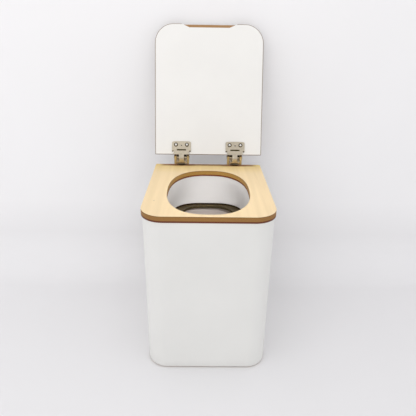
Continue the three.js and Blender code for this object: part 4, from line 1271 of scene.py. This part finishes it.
class DRYTOILET_OT_carcass(bpy.types.Operator):
    """Finish the back panel, base, battens and skirt clips"""

    bl_idname = "dry_toilet.carcass"
    bl_label = "Back, base and battens"

    def execute(self, context):
        c = colours()
        raw = shared("raw_ply", veneer, c.raw, along="Y", contrast=1.5)
        upright = shared("raw_batten", veneer, c.raw, along="Z", contrast=1.6)
        dressed("back_panel", [box_white()], BOARD_EASE)
        dressed("base_plate", [raw], BOARD_EASE)
        for side in ("left", "right"):
            dressed("corner_batten_" + side, [upright], BATTEN_EASE)
            dressed("seat_batten_" + side, [raw], BATTEN_EASE)
        for node in frame["nodes"]:
            if node.startswith("skirt_clip"):
                dressed(node, [raw], BOARD_EASE)
        return {"FINISHED"}


class DRYTOILET_OT_pads(bpy.types.Operator):
    """Finish the rubber foot pads"""

    bl_idname = "dry_toilet.pads"
    bl_label = "Foot pads"

    def execute(self, context):
        black = foot_rubber("foot_rubber", colours().rubber)
        for end in ("front", "rear"):
            for side in ("left", "right"):
                dressed("pad_%s_%s" % (end, side), [black], PAD_EASE)
        return {"FINISHED"}


class DRYTOILET_OT_stage(bpy.types.Operator):
    """Set the floor, wall, soft lamps and camera"""

    bl_idname = "dry_toilet.stage"
    bl_label = "Stage"

    def execute(self, context):
        self.sweep()
        self.world()
        for name, lamp in LAMPS.items():
            self.lamp(name, **lamp)
        self.camera()
        context.scene.view_settings.view_transform = "Standard"
        return {"FINISHED"}

    def sweep(self):
        """The floor, which rises behind the object into a wall."""
        wall = SEAT_HIGH.y + WALL_BEHIND
        profile = [(place, 0.0) for place in FLOOR_PLACES]
        for i in range(SWEEP_STEPS + 1):
            turn = QUARTER * i / SWEEP_STEPS
            back, rise = SWEEP_RADIUS * (1 - math.sin(turn)), SWEEP_RADIUS * (1 - math.cos(turn))
            profile.append((wall - back, rise))
        profile += [(wall, height) for height in WALL_HEIGHTS]
        work = bmesh.new()
        rows = [[work.verts.new((x, y, z)) for x in (-STAGE_HALF, STAGE_HALF)] for y, z in profile]
        for low, high in zip(rows, rows[1:]):
            work.faces.new((low[0], low[1], high[1], high[0]))
        mesh = bpy.data.meshes.new("backdrop")
        work.to_mesh(mesh)
        work.free()
        smooth(mesh)
        mesh.materials.append(self.backdrop_material(colours().floor))
        obj = bpy.data.objects.new("backdrop", mesh)
        bpy.context.scene.collection.objects.link(obj)

    @staticmethod
    def backdrop_material(colour):
        """Pale matt backdrop whose wall can't be seen from behind."""
        finish = Finish("backdrop_pale", colour, roughness=0.8)
        cloud = finish.spread(finish.noise(scale=3.0, detail=2.0), 0.3, 0.7)
        base = finish.mixed(cloud, shaded(colour, 0.99), colour)
        # Painted shade: the floor darkened below the wall, fading out as it rises
        floor = finish.mixed(1.0, base, FLOOR_SHADE_TINT, "MULTIPLY")
        rise = finish.spread(finish.axis("Z"), 0.0, TINT_HEIGHT)
        finish.fill(finish.shader, {"Base Color": finish.mixed(rise, floor, base)})
        behind = finish.add("ShaderNodeNewGeometry", {}).outputs["Backfacing"]
        clear = finish.add("ShaderNodeBsdfTransparent", {}).outputs["BSDF"]
        surface = finish.shaders(behind, finish.shader.outputs["BSDF"], clear)
        finish.fill(finish.nodes["Material Output"], {"Surface": surface})
        return finish.material

    def world(self):
        """Soft light from all round, and a plain background for the camera and for reflections."""
        world = bpy.data.worlds.new("soft_room")
        world.use_nodes = True
        room = NodeTree(world.node_tree)
        light = room.nodes["Background"]
        room.fill(light, {"Color": opaque(SKY), "Strength": WORLD_LIGHT})
        seen = room.add("ShaderNodeBackground", {"Color": opaque(BACKGROUND)})
        path = room.add("ShaderNodeLightPath", {})
        share = path.outputs["Is Camera Ray"]
        for ray in ("Is Glossy Ray", "Is Transmission Ray"):
            share = room.worked("MAXIMUM", share, path.outputs[ray])
        surface = room.shaders(share, light.outputs["Background"], seen.outputs["Background"])
        room.fill(room.nodes["World Output"], {"Surface": surface})
        bpy.context.scene.world = world

    @staticmethod
    def lamp(name, place, aim, size, spread, power, tint):
        """A soft rectangular lamp at a place, turned to its aim."""
        data = bpy.data.lights.new(name, "AREA")
        data.shape = "RECTANGLE"
        data.size, data.size_y = size
        data.spread = math.radians(spread)
        data.energy = power
        data.color = tint
        lamp = bpy.data.objects.new(name, data)
        lamp.location = place
        lamp.rotation_euler = (Vector(aim) - Vector(place)).to_track_quat("-Z", "Y").to_euler()
        bpy.context.scene.collection.objects.link(lamp)

    def camera(self):
        """The camera, its turn given as yaw, pitch and roll."""
        data = bpy.data.cameras.new("camera")
        data.sensor_width = CAMERA_SENSOR
        data.lens = CAMERA_LENS
        camera = bpy.data.objects.new("camera", data)
        yaw, pitch, roll = (math.radians(a) for a in CAMERA_ANGLES)
        flat = math.cos(pitch)
        forward = Vector((math.sin(yaw) * flat, math.cos(yaw) * flat, -math.sin(pitch)))
        right = Vector((math.cos(yaw), -math.sin(yaw), 0.0))
        down = forward.cross(right)
        level, dip = math.cos(roll), math.sin(roll)
        across = level * right + dip * down
        above = dip * right - level * down
        turn = Matrix((across, above, -forward)).transposed().to_4x4()
        turn.translation = Vector((CAMERA_PLACE[0], SEAT_LOW.y - CAMERA_PLACE[1], CAMERA_PLACE[2]))
        camera.matrix_world = turn
        bpy.context.scene.collection.objects.link(camera)
        bpy.context.scene.camera = camera


OPERATORS = (
    DRYTOILET_OT_shell,
    DRYTOILET_OT_carcass,
    DRYTOILET_OT_pads,
    DRYTOILET_OT_seat_plate,
    DRYTOILET_OT_skirt,
    DRYTOILET_OT_ring,
    DRYTOILET_OT_tub,
    DRYTOILET_OT_lid,
    DRYTOILET_OT_hinges,
    DRYTOILET_OT_screws,
    DRYTOILET_OT_stage,
)


class DRYTOILET_PT_panel(bpy.types.Panel):
    """Sizes, colours and pieces of the dry toilet"""

    bl_idname = "DRYTOILET_PT_panel"
    bl_label = "Dry toilet"
    bl_space_type = "VIEW_3D"
    bl_region_type = "UI"
    bl_category = "Dry toilet"

    def draw(self, context):
        for group in (context.scene.dry_toilet_sizes, context.scene.dry_toilet_colours):
            column = self.layout.column()
            for name in group.__annotations__:
                column.prop(group, name)
        for operator in OPERATORS:
            self.layout.operator(operator.bl_idname)


CLASSES = (DryToiletSizes, DryToiletColours, *OPERATORS, DRYTOILET_PT_panel)


def register():
    for item in CLASSES:
        bpy.utils.register_class(item)
    bpy.types.Scene.dry_toilet_sizes = bpy.props.PointerProperty(type=DryToiletSizes)
    bpy.types.Scene.dry_toilet_colours = bpy.props.PointerProperty(type=DryToiletColours)


def unregister():
    del bpy.types.Scene.dry_toilet_colours
    del bpy.types.Scene.dry_toilet_sizes
    for item in reversed(CLASSES):
        bpy.utils.unregister_class(item)


def main():
    register()
    for operator in OPERATORS:
        group, action = operator.bl_idname.split(".")
        getattr(getattr(bpy.ops, group), action)()


if __name__ == "__main__":
    main()
